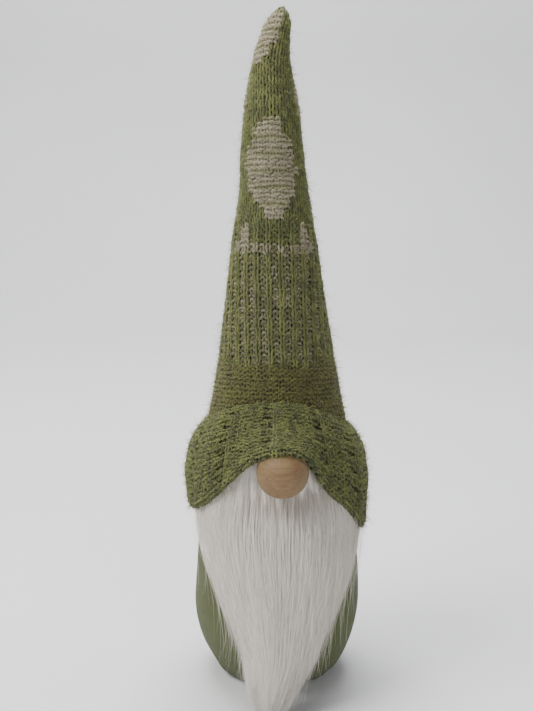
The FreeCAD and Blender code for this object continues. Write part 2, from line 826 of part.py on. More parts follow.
# ---------------------------------------------------------------- the whole figure
def make_pieces(doc, size):
    at = Places(size)
    wall, turning = size.knit_wall, size.turning_gap
    low = Ball(at.hat_bend, size.hat_bend_radius, wall)
    low_turning = Ball(at.hat_bend, size.hat_bend_radius + turning, wall)
    high = Ball(at.tip_bend, size.tip_bend_radius, wall)
    high_turning = Ball(at.tip_bend, size.tip_bend_radius + turning, wall)
    bag_tie_height = at.bag_top + size.bag_neck_length / 2
    return [
        body_cover(doc, size, at),
        base_disc(doc, size, at),
        weight_bag(doc, size, at),
        weight_fill(doc, size, at),
        tie(doc, size, "weight_bag_tie", size.bag_neck_radius, bag_tie_height),
        body_stuffing(doc, size, at),
        tie(doc, size, "neck_tie", size.neck_radius, at.neck + size.neck_length / 2),
        nose_ball(doc, size, at),
        nose_glue(doc, size, at),
        beard_backing_top(doc, size, at),
        beard_fur_top(doc, size, at),
        beard_backing(doc, size, at),
        beard_fur(doc, size, at),
        hat_knit_base(doc, size, at, low),
        hat_knit_middle(doc, size, at, low_turning, high),
        hat_knit_tip(doc, size, at, high_turning),
        hat_stuffing_base(doc, size, at, low),
        hat_stuffing_middle(doc, size, at, low_turning, high),
        hat_stuffing_tip(doc, size, at, high_turning),
        *hat_wires(doc, size, at, low, high, turning),
        *hat_seams(doc, size, at, (low, low_turning, high, high_turning))]


def check(doc, pieces):
    for item in doc.Objects:
        if "Invalid" in item.State or "Error" in item.State:
            raise RuntimeError(f"{item.Name} did not build: {item.State}")
    for piece in pieces:
        shape = piece.Shape
        if shape.isNull() or not shape.isValid() or len(shape.Solids) != 1:
            raise RuntimeError(f"{piece.Label} is not one sound solid")


def main():
    doc = FreeCAD.newDocument("tomte_gnome")
    pieces = make_pieces(doc, Sheet(doc))
    doc.recompute()
    check(doc, pieces)
    os.makedirs("parts", exist_ok=True)
    for piece in pieces:
        piece.Shape.exportStep(os.path.join("parts", f"{piece.Label}.step"))
        print(f"{piece.Label}: {piece.Shape.Volume:.0f} mm3")


main()
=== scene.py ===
"""Looks of the tomte: knitted hat, long fur beard, turned nose and fleece body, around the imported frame.

Lengths are in millimetres until a mesh is made; `make` turns them into metres.
"""

from math import pi, radians

import bpy
import numpy as np
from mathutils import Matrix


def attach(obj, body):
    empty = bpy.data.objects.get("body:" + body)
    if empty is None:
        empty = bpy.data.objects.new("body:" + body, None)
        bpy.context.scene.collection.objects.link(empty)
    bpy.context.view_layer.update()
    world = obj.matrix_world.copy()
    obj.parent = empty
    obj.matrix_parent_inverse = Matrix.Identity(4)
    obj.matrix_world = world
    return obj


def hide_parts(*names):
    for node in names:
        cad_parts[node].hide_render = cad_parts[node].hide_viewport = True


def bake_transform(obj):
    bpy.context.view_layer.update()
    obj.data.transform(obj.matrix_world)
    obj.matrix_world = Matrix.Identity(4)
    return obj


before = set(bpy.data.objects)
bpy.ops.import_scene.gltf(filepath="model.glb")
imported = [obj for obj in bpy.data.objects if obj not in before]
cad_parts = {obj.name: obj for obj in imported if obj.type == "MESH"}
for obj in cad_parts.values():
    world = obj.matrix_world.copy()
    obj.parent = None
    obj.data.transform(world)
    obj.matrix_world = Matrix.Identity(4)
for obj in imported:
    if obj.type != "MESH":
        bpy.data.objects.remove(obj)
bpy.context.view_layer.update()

MM = 0.001
TURN = 2 * pi
SPLIT = 280.0  # height where the cone's pieces part, between the two bends
FOOT_SPLIT = 200.0  # height where the lowest piece ends
TWIST = 1.1  # turn of the yarn's ply in each millimetre, in radians


# ---- small tools

def unit(v):
    return v / np.maximum(np.linalg.norm(v, axis=-1, keepdims=True), 1e-9)


def curve(points, soft=0.0, closed=False):
    """A function through (x, y) points, its corners rounded over `soft`."""
    xs, ys = np.array(points, float).T
    grid = np.linspace(xs[0], xs[-1], 1201)
    line = np.interp(grid, xs, ys)
    if soft:
        step = grid[1] - grid[0]
        reach = int(3 * soft / step)
        bell = np.exp(-0.5 * (np.arange(-reach, reach + 1) * step / soft) ** 2)
        if closed:
            padded = np.concatenate([line[-reach - 1:-1], line, line[1:reach + 1]])
        else:
            before = 2 * line[0] - line[reach:0:-1]
            after = 2 * line[-1] - line[-2:-reach - 2:-1]
            padded = np.concatenate([before, line, after])
        line = np.convolve(padded, bell / bell.sum(), "valid")
    return lambda x: np.interp(x, grid, line)


def make(name, points, faces, values=None):
    """A mesh object from points in mm, lists of faces of equal size, and values on its points."""
    mesh = bpy.data.meshes.new(name)
    points = np.asarray(points, float).reshape(-1, 3)
    faces = [np.asarray(f, np.int32) for f in faces if len(f)]
    corners = np.concatenate([f.ravel() for f in faces])
    sizes = np.concatenate([np.full(len(f), f.shape[1], np.int32) for f in faces])
    mesh.vertices.add(len(points))
    mesh.vertices.foreach_set("co", (points * MM).astype(np.float32).ravel())
    mesh.loops.add(len(corners))
    mesh.loops.foreach_set("vertex_index", corners)
    mesh.polygons.add(len(sizes))
    mesh.polygons.foreach_set("loop_start", np.concatenate([[0], np.cumsum(sizes)[:-1]]).astype(np.int32))
    mesh.update(calc_edges=True)
    mesh.polygons.foreach_set("use_smooth", np.ones(len(sizes), bool))
    for key, value in (values or {}).items():
        value = np.asarray(value, np.float32)
        kind, field = ("FLOAT", "value") if value.ndim == 1 else ("FLOAT_VECTOR", "vector")
        mesh.attributes.new(key, kind, "POINT").data.foreach_set(field, value.ravel())
    mesh.validate()
    obj = bpy.data.objects.new(name, mesh)
    bpy.context.scene.collection.objects.link(obj)
    return obj


def sweep(paths, radius, hint, sides, closed=False, values=None):
    """Tubes along paths[n, m, 3], with hint pointing off the surface they lie on: points, faces, values.

    "ply" in the values is the place along and round each tube, for the twist of the yarn.
    """
    n, m, _ = paths.shape
    if closed:
        ahead, behind = np.roll(paths, -1, 1), np.roll(paths, 1, 1)
    else:
        ahead = np.concatenate([paths[:, 1:], paths[:, -1:]], 1)
        behind = np.concatenate([paths[:, :1], paths[:, :-1]], 1)
    tangent = unit(ahead - behind)
    out = unit(hint - tangent * (hint * tangent).sum(-1, keepdims=True))
    side = np.cross(tangent, out)
    turn = np.arange(sides) * TURN / sides
    wheel = np.cos(turn)[:, None] * out[:, :, None] + np.sin(turn)[:, None] * side[:, :, None]
    radius = np.broadcast_to(radius, (n, m))
    points = (paths[:, :, None] + radius[:, :, None, None] * wheel).reshape(-1, 3)
    index = np.arange(n * m * sides).reshape(n, m, sides)
    a, b = (index, np.roll(index, -1, 1)) if closed else (index[:, :-1], index[:, 1:])
    quads = np.stack([a, np.roll(a, -1, 2), np.roll(b, -1, 2), b], -1).reshape(-1, 4)
    faces = [quads]
    if not closed:
        faces += [index[:, 0, ::-1].reshape(-1, sides), index[:, -1].reshape(-1, sides)]
    along = np.cumsum(np.linalg.norm(np.diff(paths, axis=1, prepend=paths[:, :1]), axis=-1), 1)
    twist = turn + along[:, :, None] * TWIST
    ply = np.stack([np.broadcast_to(along[:, :, None], twist.shape), np.cos(twist), np.sin(twist)], -1)
    found = {"ply": ply.reshape(-1, 3)}
    for key, value in (values or {}).items():
        wide = np.repeat(value[:, :, None], sides, 2)
        found[key] = wide.reshape(-1, value.shape[2]) if value.ndim == 3 else wide.ravel()
    return points, faces, found


class Bundle:
    """Gathers several swept parts into one mesh."""

    def __init__(self):
        self.points, self.faces, self.values, self.count = [], {}, {}, 0

    def add(self, points, faces, values):
        for f in faces:
            self.faces.setdefault(f.shape[1], []).append(f + self.count)
        for key, value in values.items():
            self.values.setdefault(key, []).append(value)
        self.points.append(points)
        self.count += len(points)

    def make(self, name):
        return make(name, np.concatenate(self.points), [np.concatenate(f) for f in self.faces.values()],
                    {k: np.concatenate(v) for k, v in self.values.items()})


def grid_faces(rows, columns, closed=True):
    """Quads of a grid of points, rows by columns, joined round its columns when closed."""
    index = np.arange(rows * columns).reshape(rows, columns)
    right = np.roll(index, -1, 1) if closed else index[:, 1:]
    left = index if closed else index[:, :-1]
    return np.stack([left[:-1], right[:-1], right[1:], left[1:]], -1).reshape(-1, 4)


def lathe(name, radii, heights, columns, shape):
    """A closed turned form from a profile that starts and ends near the axis. shape moves its points."""
    angle = np.arange(columns) * TURN / columns
    r, z = np.array(radii, float)[:, None], np.array(heights, float)[:, None]
    points = np.stack([r * np.sin(angle), -r * np.cos(angle), z + 0 * angle], -1)
    last = (len(radii) - 1) * columns
    ring = np.arange(columns)
    faces = [grid_faces(len(radii), columns), ring[::-1][None], (last + ring)[None]]
    return make(name, shape(points.reshape(-1, 3)), faces)


# ---- materials

class Nodes:
    """Short names for building one node material."""

    def __init__(self, name, roughness, sheen=0.0, metallic=0.0):
        self.mat = bpy.data.materials.new(name)
        self.mat.use_nodes = True
        self.tree = self.mat.node_tree
        self.shader = self.tree.nodes["Principled BSDF"]
        self.shader.inputs["Roughness"].default_value = roughness
        self.shader.inputs["Metallic"].default_value = metallic
        if sheen:
            self.shader.inputs["Sheen Weight"].default_value = sheen
            self.shader.inputs["Sheen Roughness"].default_value = 0.5

    def feed(self, socket, value):
        """Links a socket to another node's output, or sets its value."""
        if isinstance(value, bpy.types.NodeSocket):
            self.tree.links.new(value, socket)
        else:
            socket.default_value = value

    def node(self, kind, **inputs):
        n = self.tree.nodes.new("ShaderNode" + kind)
        for key, value in inputs.items():
            self.feed(n.inputs[key.replace("_", " ")], value)
        return n

    def place(self, stretch=(1, 1, 1), of=None):
        """Object coordinates in mm, or an attribute's, stretched."""
        source = of if of is not None else self.node("TexCoord").outputs["Object"]
        scale = [s / MM for s in stretch] if of is None else stretch
        return self.node("Mapping", Vector=source, Scale=scale).outputs["Vector"]

    def noise(self, place, scale, detail=2.0, rough=0.5):
        return self.node("TexNoise", Vector=place, Scale=scale, Detail=detail, Roughness=rough).outputs["Fac"]

    def ramp(self, fac, *stops):
        n = self.node("ValToRGB", Fac=fac)
        ramp = n.color_ramp
        while len(ramp.elements) < len(stops):
            ramp.elements.new(0.5)
        for element, (at, colour) in zip(ramp.elements, stops):
            element.position = at
            element.color = (*colour, 1) if hasattr(colour, "__len__") else (colour, colour, colour, 1)
        return n.outputs["Color"]

    def mix(self, fac, a, b, blend="MIX"):
        n = self.tree.nodes.new("ShaderNodeMix")
        n.data_type, n.blend_type = "RGBA", blend
        for place, value in ((0, fac), (6, a), (7, b)):
            self.feed(n.inputs[place], (*value, 1) if isinstance(value, tuple) else value)
        return n.outputs[2]

    def attribute(self, name, output="Vector"):
        n = self.tree.nodes.new("ShaderNodeAttribute")
        n.attribute_name = name
        return n.outputs[output]

    def finish(self, colour, height=None, distance=0.0002, rough=None):
        self.tree.links.new(colour, self.shader.inputs["Base Color"])
        if height is not None:
            bump = self.node("Bump", Height=height, Distance=distance, Strength=1.0)
            self.tree.links.new(bump.outputs["Normal"], self.shader.inputs["Normal"])
        if rough is not None:
            self.tree.links.new(rough, self.shader.inputs["Roughness"])
        return self.mat


def yarn_material(name, gain=1.0):
    """Twisted hairy wool whose colour comes with each stitch."""
    m = Nodes(name, 0.9, sheen=0.17)
    ply = m.attribute("ply")
    fibre = m.noise(m.place((0.7, 2.2, 2.2), ply), 1.6, 4.0, 0.65)
    dark, pale = (tuple(gain * c for c in shade) for shade in ((0.52, 0.42, 0.40), (1.38, 1.50, 1.50)))
    tint = m.mix(1.0, m.attribute("tint"), m.ramp(fibre, (0.25, dark), (0.75, pale)), "MULTIPLY")
    cloud = m.noise(m.place(), 0.12, 2.0)
    tint = m.mix(1.0, tint, m.ramp(cloud, (0.3, 0.86), (0.7, 1.1)), "MULTIPLY")
    return m.finish(tint, fibre, 0.0004)


def fibre_material(name):
    """Loose fibres that stand off the yarn."""
    m = Nodes(name, 0.8, sheen=0.17)
    soft = m.noise(m.place(), 0.6, 2.0)
    return m.finish(m.mix(1.0, m.attribute("tint"), m.ramp(soft, (0.3, 0.8), (0.7, 1.2)), "MULTIPLY"))


def knit_shade_material(name, low, high):
    """A dark shell in painted shade, seen in the gaps between the stitches."""
    m = Nodes(name, 0.95)
    soft = m.noise(m.place(), 1.2, 4.0, 0.7)
    return m.finish(m.ramp(soft, (0.3, low), (0.75, high)), soft, 0.0008)


def fur_material():
    """White pile, each strand with a tone of its own, darkened as painted shade under the nose and the brim.
    """
    m = Nodes("beard_pile", 0.5, sheen=0.4)
    tone = m.attribute("tone", "Fac")
    colour = m.ramp(tone, (0.0, (0.62, 0.56, 0.48)), (0.45, (0.90, 0.855, 0.78)), (1.0, (0.95, 0.92, 0.86)))
    patch = m.noise(m.place((1, 1, 0.2)), 0.12, 2.0)
    return m.finish(m.mix(1.0, colour, m.ramp(patch, (0.3, 0.97), (0.7, 1.05)), "MULTIPLY"))


def fur_ground_material():
    """The denser pile under the outer strands, streaked, and slightly darker as painted shade."""
    m = Nodes("beard_ground", 0.7, sheen=0.2)
    streak = m.noise(m.place((1, 0.4, 0.06)), 1.1, 5.0, 0.7)
    return m.finish(m.ramp(streak, (0.3, (0.70, 0.65, 0.58)), (0.7, (0.88, 0.84, 0.78))), streak, 0.0008)


def fleece_material():
    """Smooth fleece with a fine nap and slow clouds of tone."""
    m = Nodes("body_fleece", 0.95, sheen=0.05)
    nap = m.noise(m.place(), 1.7, 5.0, 0.75)
    clump = m.noise(m.place((1, 1, 0.7)), 0.35, 3.0)
    cloud = m.noise(m.place((1, 1, 0.6)), 0.03, 2.0)
    colour = m.ramp(nap, (0.25, (0.040, 0.048, 0.014)), (0.75, (0.092, 0.107, 0.036)))
    colour = m.mix(1.0, colour, m.ramp(clump, (0.3, 0.86), (0.7, 1.12)), "MULTIPLY")
    colour = m.mix(1.0, colour, m.ramp(cloud, (0.3, 0.90), (0.7, 1.02)), "MULTIPLY")
    height = m.mix(0.35, nap, clump)
    return m.finish(colour, height, 0.0006)


def wood_material():
    """Turned wood with fine lines of grain, and one small spot of painted shade where the cuff's fold meets
    it.
    """
    m = Nodes("nose_wood", 0.5)
    bend = m.noise(m.place((0.3, 1, 1)), 0.06, 2.0)
    line = m.noise(m.place((0.04, 0.5, 1.0)), 0.8, 4.0, 0.6)
    fine = m.noise(m.place((0.06, 1.0, 1.6)), 1.1, 3.0, 0.6)
    colour = m.ramp(line, (0.3, (0.100, 0.053, 0.018)), (0.5, (0.172, 0.103, 0.042)),
                    (0.7, (0.217, 0.137, 0.061)))
    colour = m.mix(0.5, colour, m.ramp(fine, (0.32, (0.096, 0.051, 0.018)), (0.68, (0.226, 0.143, 0.065))))
    colour = m.mix(1.0, colour, m.ramp(bend, (0.3, 0.9), (0.7, 1.08)), "MULTIPLY")
    # a small painted shade on the nose's upper right, just under the cuff's fold
    brim_shade = m.node("VectorMath", Vector=m.place())
    brim_shade.operation = "DISTANCE"
    brim_shade.inputs[1].default_value = (9.5, -72.0, 156.0)
    away = m.node("MapRange", Value=brim_shade.outputs["Value"], From_Max=4.0).outputs["Result"]
    colour = m.mix(m.ramp(away, (0.2, 0.35), (1.0, 0.0)), colour, (0.17, 0.065, 0.028))
    return m.finish(colour, fine, 0.00012, m.ramp(line, (0.3, 0.6), (0.7, 0.75)))


def plain_material(name, low, high, scale, roughness, stretch=(1, 1, 1), depth=0.0003, metallic=0.0):
    m = Nodes(name, roughness, metallic=metallic)
    grain = m.noise(m.place(stretch), scale, 4.0, 0.6)
    return m.finish(m.ramp(grain, (0.3, low), (0.7, high)), grain, depth)


def dress(obj, material, slot):
    obj.data.materials.clear()
    obj.data.materials.append(material)
    return obj


# base colours of the hat's yarns
GREEN = np.array([0.096, 0.105, 0.024])
DEEP = np.array([0.072, 0.069, 0.011])
LIGHT = np.array([0.126, 0.136, 0.036])
CUFF_GREEN = np.array([0.079, 0.088, 0.0165])
PALE = np.array([0.276, 0.240, 0.168])

HAT_YARN = yarn_material("hat_yarn")
SEAM_YARN = yarn_material("seam_yarn", 0.9)
HAT_FUZZ = fibre_material("hat_fuzz")
# dark shells behind the knitting, their colour painted shade seen in the gaps between the stitches
KNIT_PAINTED_SHADE = knit_shade_material("knit_painted_shade", (0.009, 0.010, 0.002), (0.030, 0.032, 0.006))
CONE_PAINTED_SHADE = knit_shade_material("cone_painted_shade", (0.022, 0.023, 0.005), (0.052, 0.054, 0.010))


# ---- hat: surfaces

# outer radius of the cone by height, and how far its middle wanders sideways
CONE_RADIUS = curve([(120, 49), (142, 46), (165, 42.2), (180, 39.2), (206, 34.6), (236, 30.2), (272, 25.4),
                     (298, 21.0), (324, 18.8), (350, 16.2), (374, 11.4), (394, 8.2), (405, 6.4)], 5)
CONE_SHIFT = curve([(120, 0), (200, -0.4), (236, -1.2), (272, -2), (298, -2), (324, -3.4), (350, -3.5),
                    (374, -4), (384, -2.6), (394, -0.4), (401, 1.8), (406, 3.6)], 4)
CAP_START, TOP = 392.0, 404.0
NOSE = np.array([2.5, -62.0, 149.0])
NOSE_RADIUS = 15.0
YARN_DEPTH = 1.5  # from the cone's outside to the middle of its stitches


def cone_radius(z):
    """Outer radius of the cone, rounded off at its tip."""
    cap = np.sqrt(np.clip(1 - (np.clip(z - CAP_START, 0, None) / (TOP - CAP_START)) ** 2, 0, 1))
    return CONE_RADIUS(z) * cap


FOOT = 128.0  # height where the cone's cloth starts, inside the cuff
_heights = np.linspace(FOOT, TOP, 2400)
_radii = cone_radius(_heights)
_lengths = np.concatenate([[0], np.cumsum(np.hypot(np.diff(_heights), np.diff(_radii)))])
CONE_LENGTH = _lengths[-1]
HEIGHT_AT = lambda s: np.interp(s, _lengths, _heights)
LENGTH_AT = lambda z: np.interp(z, _heights, _lengths)


def on_cone(u, s):
    """Height, radius and angle of a place on the cone: u across from the front line, s along it.

    The wales are straight, so they run off at the back as the cone narrows, and the rows dip there.
    """
    left = CONE_LENGTH - s + 6
    z = HEIGHT_AT(s - u * u / (2 * left))
    radius = np.maximum(cone_radius(z) - YARN_DEPTH, 0.8)
    return z, radius, u / radius


def cone(u, s):
    """A point of the cone's cloth."""
    z, radius, angle = on_cone(u, s)
    return np.stack([CONE_SHIFT(z) + radius * np.sin(angle), -radius * np.cos(angle), z + 0 * u], -1)


# the cuff's outside as five rings from its top edge to its fold, each with (radius, height)
# at each angle from the front
CUFF_ANGLES = [-180, -120, -90, -60, -46, -30, -13, -6, 0, 5, 10, 15, 21, 30, 48, 63, 90, 120, 180]
CUFF_RINGS = [
    [(46.5, 143), (45.4, 153), (44.0, 162.5), (44.2, 170), (44.0, 176), (44.0, 180.5), (43.8, 183),
     (43.6, 183.4), (43.6, 183.5), (43.6, 183.4), (43.7, 183), (43.8, 182.4), (44.0, 181),
     (44.2, 178.5), (44.2, 171.5), (44.2, 164.5), (44.0, 160.5), (45.6, 152), (46.5, 143)],
    [(50.0, 139), (48.8, 149), (47.8, 158.5), (48.2, 166), (48.0, 171.5), (47.8, 176.5), (47.6, 180),
     (47.4, 180.8), (47.4, 181), (47.4, 180.8), (47.5, 180.2), (47.6, 179.5), (47.9, 177.6),
     (48.2, 175), (48.4, 167.5), (48.4, 160.5), (48.2, 156.5), (49.2, 148), (50.0, 139)],
    [(53.4, 130), (53.8, 139), (54.0, 149), (53.8, 155), (53.4, 161), (53.2, 167), (53.0, 173),
     (53.2, 174.2), (53.4, 174.5), (53.4, 174.2), (53.4, 173), (53.4, 171.8), (53.5, 168.5),
     (53.6, 164), (53.8, 157.5), (54.2, 150), (54.4, 147), (54.0, 138), (53.4, 130)],
    [(56.0, 113), (56.8, 120), (57.4, 131), (57.8, 137), (57.4, 144), (57.4, 154), (60.0, 166.5),
     (61.6, 168.8), (62.4, 169.6), (62.4, 169.4), (61.8, 168), (60.6, 165.5), (59.2, 160),
     (58.0, 151), (57.8, 139), (57.6, 129.5), (57.8, 127), (57.0, 118), (56.0, 113)],
    [(52.4, 93), (54.6, 101), (55.6, 109.5), (58.0, 117), (58.6, 126.5), (59.8, 141), (66.0, 158.8),
     (70.0, 163.8), (71.6, 165.2), (71.6, 165.2), (70.0, 163.6), (67.4, 157.6), (64.0, 149),
     (60.8, 136), (59.0, 119.5), (58.4, 103.5), (56.0, 99.5), (54.0, 96), (52.4, 93)]]
CUFF_TOP = [height for _, height in CUFF_RINGS[0]]
CUFF_ROWS = 18  # rows of stitches from the edge to the fold
ROWS_UNDER = 4  # rows that turn in under the fold
ROWS_ABOVE = 11  # rows in the cuff's upper piece
CUFF_WALES = 108
FOLD_RADIUS = 2.6
NOSE_ROOM = 1.6  # from the nose to the middle of the cuff's stitches


def cuff_table():
    """Points of the cuff's outside on a fine grid of angle by place down it, with the fold turned under."""
    angle = np.linspace(-180, 180, 361)
    rings = np.array([                                          # ring, (radius, height), angle
        [curve(list(zip(CUFF_ANGLES, values)), 3.5, True)(angle) for values in zip(*ring)]
        for ring in CUFF_RINGS])
    places = [0, 0.12, 0.34, 0.66, 1.0]
    down = np.linspace(0, 1, 81)
    body = np.empty((2, len(angle), len(down)))
    for part in (0, 1):
        for k in range(len(angle)):
            body[part, k] = curve(list(zip(places, rings[:, part, k])), 0.05)(down)
    step = body[:, :, -1] - body[:, :, -4]
    along = step / np.linalg.norm(step, axis=0)
    out = np.stack([-along[1], along[0]])
    theta = np.linspace(0, pi * 1.05, 17)[1:]
    turned = (body[:, :, -1:] + FOLD_RADIUS * (out[:, :, None] * (np.cos(theta) - 1)
                                               + along[:, :, None] * np.sin(theta)))
    table = np.concatenate([body, turned], 2)
    places = np.concatenate([down, 1 + theta / pi * 0.16])
    return np.radians(angle), places, table


_cuff_angle, _cuff_place, _cuff = cuff_table()


def cuff(angle, place, clear=True):
    """A point of the cuff's cloth, for angle in radians and place from 0 at its edge to 1 at its fold.

    With clear, points that would be inside the nose are moved out of it.
    """
    wrapped = (angle + pi) % TURN / TURN * (len(_cuff_angle) - 1)
    column = np.minimum(wrapped.astype(int), len(_cuff_angle) - 2)
    f = wrapped - column
    where = np.interp(place, _cuff_place, np.arange(len(_cuff_place)))
    row = np.minimum(where.astype(int), len(_cuff_place) - 2)
    g = where - row
    rz = ((_cuff[:, column, row] * (1 - f) + _cuff[:, column + 1, row] * f) * (1 - g)
          + (_cuff[:, column, row + 1] * (1 - f) + _cuff[:, column + 1, row + 1] * f) * g)
    sway = 0.5 * np.sin(3 * angle + 1.3) + 0.4 * np.sin(7 * angle + 0.4)
    r = rz[0] + sway * np.clip(place * 3, 0, 1) * (np.abs(angle) > 0.3) - YARN_DEPTH
    points = np.stack([r * np.sin(angle), -r * np.cos(angle), rz[1]], -1)
    away = points - NOSE
    distance = np.linalg.norm(away, axis=-1, keepdims=True)
    room = NOSE_RADIUS + NOSE_ROOM
    near = (distance < room) & (np.asarray(place)[..., None] < 1.03) & clear
    return np.where(near, NOSE + away / distance * room, points)


def normals(surface, a, b, step_a, step_b):
    """Directions out of a surface at parameters a, b."""
    da = surface(a + step_a, b) - surface(a - step_a, b)
    db = surface(a, b + step_b) - surface(a, b - step_b)
    return unit(np.cross(da, db))


# ---- hat: knitting

POINTS = 12  # points round one stitch
WALE, ROW = 3.5, 3.15  # width and height of one stitch
INLAY = 0.35  # how far the pale yarn laid through the cloth is raised
YARN, PALE_YARN, CUFF_YARN, HIDDEN_YARN = 0.70, 0.86, 0.57, 0.55  # radii
BAND_TOP = 203.0  # top of the purl band over the cuff, where the rib starts
RIB_TOP = 284.0
DENSE_TOP = 206.0  # rows are packed closer up to here
FIRST_ROW = 152.0  # height of the lowest row at the front
HIDDEN, TUCK = 138.0, 14.0  # stitches stop at this height, or this far below the cuff's edge
MOST_WALES = 60  # more wales than half the cone ever needs
CHECKS = 18.4  # the row of checks: how far its two groups are from the front line
_t = (np.arange(POINTS) + 0.5) / POINTS * TURN
LOOP_ACROSS = _t / TURN - 0.5 + 0.17 * np.sin(2 * _t)
LOOP_UP = -np.cos(_t)
LOOP_OUT = np.cos(2 * _t)


def row_of_stitches(rng, count, faces, reach, depth, jitter, lifts):
    """One row's yarn: (wales across, rows up, mm out). faces is +1 for purl and -1 for knit, per stitch."""
    stitch = np.repeat(np.arange(count), POINTS)
    wobble = [np.interp(np.arange(count * POINTS) / POINTS, np.arange(count + 1),
                        rng.normal(0, 1, count + 1)) for _ in range(3)]
    across = stitch + np.tile(LOOP_ACROSS, count) + jitter * 0.5 * wobble[0]
    up = np.tile(LOOP_UP, count) * reach[stitch] + jitter * wobble[1]
    out = np.tile(LOOP_OUT, count) * depth * faces[stitch] + lifts[stitch] + jitter * 1.6 * wobble[2]
    return stitch, across, up, np.convolve(np.pad(out, 1, "edge"), [0.25, 0.5, 0.25], "valid")


def cone_tints(rng, u, z):
    """Yarn colour of each stitch of the cone, whether it is purl, and how much it is raised."""
    wale = np.round(u / WALE).astype(int)
    colour = np.tile(GREEN, (len(u), 1)) * rng.uniform(0.62, 1.3, (len(u), 1))
    faces, lifts = -np.ones(len(u)), np.zeros(len(u))
    radius = cone_radius(z)
    side = np.abs(u / radius)
    row = np.round(z / ROW).astype(int)

    # rib: knit and purl wales by turns, pale dots down the purl ones, and a pale row near its top
    rib = (z > BAND_TOP) & (z < RIB_TOP)
    valley = rib & (wale % 2 == 0)
    faces[valley] = 1
    lifts[valley], lifts[rib & ~valley] = -0.35, 0.25
    spots = valley & (z > DENSE_TOP) & (z < 272)
    share = np.where(row[spots] % 2 == 0, 0.9, 0.1)[:, None] * rng.uniform(0.3, 1.0, (spots.sum(), 1))
    colour[spots] = share * PALE * 0.92 + (1 - share) * colour[spots] * 0.8
    edge = rib & (np.abs(z - 270) < 1.7) & (side < 1.2)
    colour[edge] = PALE * rng.uniform(0.7, 1.0, (edge.sum(), 1))

    # purl band between the cuff and the rib
    band = z <= BAND_TOP
    faces[band] = 1
    colour[band] = DEEP * rng.uniform(0.8, 1.35, (band.sum(), 1))

    # row of pale checks on both sides of the front
    check = (z > 268) & (z < RIB_TOP) & (np.abs(np.abs(u) - CHECKS) < 3.4) & (np.abs(u) < 2.2 * radius)
    faces[check] = 1
    colour[check] = PALE * rng.uniform(0.8, 1.1, (check.sum(), 1))

    # diamonds and patches of pale yarn laid in, with uneven sides
    for middle, low, high, half, name in DIAMONDS:
        share = (z - low) / (high - low)
        at = middle * radius + (-1.0 if name == "front" else 0.0)
        ragged = rng.uniform(-1.8, 1.8, 2)
        width = half(np.clip(share, 0, 1)) + np.where(u > at, *ragged)
        inside = (share > 0) & (share < 1) & (np.abs(u - at) < width)
        faces[inside] = 1
        lifts[inside] = INLAY
        greenish = inside & (row % 3 == 1)
        colour[inside] = PALE * rng.uniform(0.86, 1.14, (inside.sum(), 1))
        colour[greenish] = 0.55 * colour[greenish] + 0.45 * LIGHT
    # plain knitting above the rib
    plain = (z > RIB_TOP) & (faces < 0)
    colour[plain] = (0.45 * GREEN + 0.45 * LIGHT) * rng.uniform(0.6, 1.3, (plain.sum(), 1))
    colour *= np.interp(z, [200, 330, 380], [1.05, 1.0, 1.22])[:, None]
    return colour, faces, lifts


_diamond = curve([(0, 5.5), (0.12, 8), (0.28, 13), (0.45, 16), (0.6, 14.5), (0.78, 10.5), (1, 4)], 0.03)
_small = curve([(0, 2), (0.5, 7.5), (1, 2)], 0.05)
_wide = curve([(0, 3), (0.4, 9), (1, 7)], 0.05)
# pale patches: angle of the middle, lowest and highest point, half width up it, place
DIAMONDS = [(0.0, 288, 344, _diamond, "front"), (1.55, 336, 369, _small, "right"),
            (-1.55, 338, 369, _small, "left"), (-0.75, 374, 402, _wide, "tip"),
            (pi * 0.97, 288, 344, _diamond, "back"), (-pi * 0.97, 288, 344, _diamond, "back")]

# places to stand fibres on: point, direction, colour
FUZZ = {"cuff": [], "cone_foot": [], "cone_low": [], "cone_high": []}


def note_fuzz(zone, path, out, colour, rng):
    """Keeps about a third of a yarn's points as places for loose fibres."""
    chosen = rng.uniform(0, 1, len(path)) < 0.3
    FUZZ[zone].append((path[chosen], out[chosen], colour[chosen]))


def runs(chosen):
    """First and end index of each unbroken run of True."""
    edges = np.flatnonzero(np.diff(np.concatenate([[0], chosen.astype(int), [0]])))
    return list(zip(edges[::2], edges[1::2]))


def add_between(bundle, rng, count, first, s):
    """The green yarn that runs behind and between two pale rows."""
    _, across, up, out = row_of_stitches(rng, count, np.ones(count), np.full(count, 0.4), 0.3, 0.06,
                                         np.full(count, -0.15))
    u, along = (across + first) * WALE, s + up * ROW
    normal = normals(cone, u, along, 0.2, 0.2)
    tints = np.repeat(GREEN * rng.uniform(0.8, 1.2, (count, 1)), POINTS, 0)
    path = cone(u, along) + normal * out[:, None]
    bundle.add(*sweep(path[None], HIDDEN_YARN, normal[None], 5, values={"tint": tints[None]}))


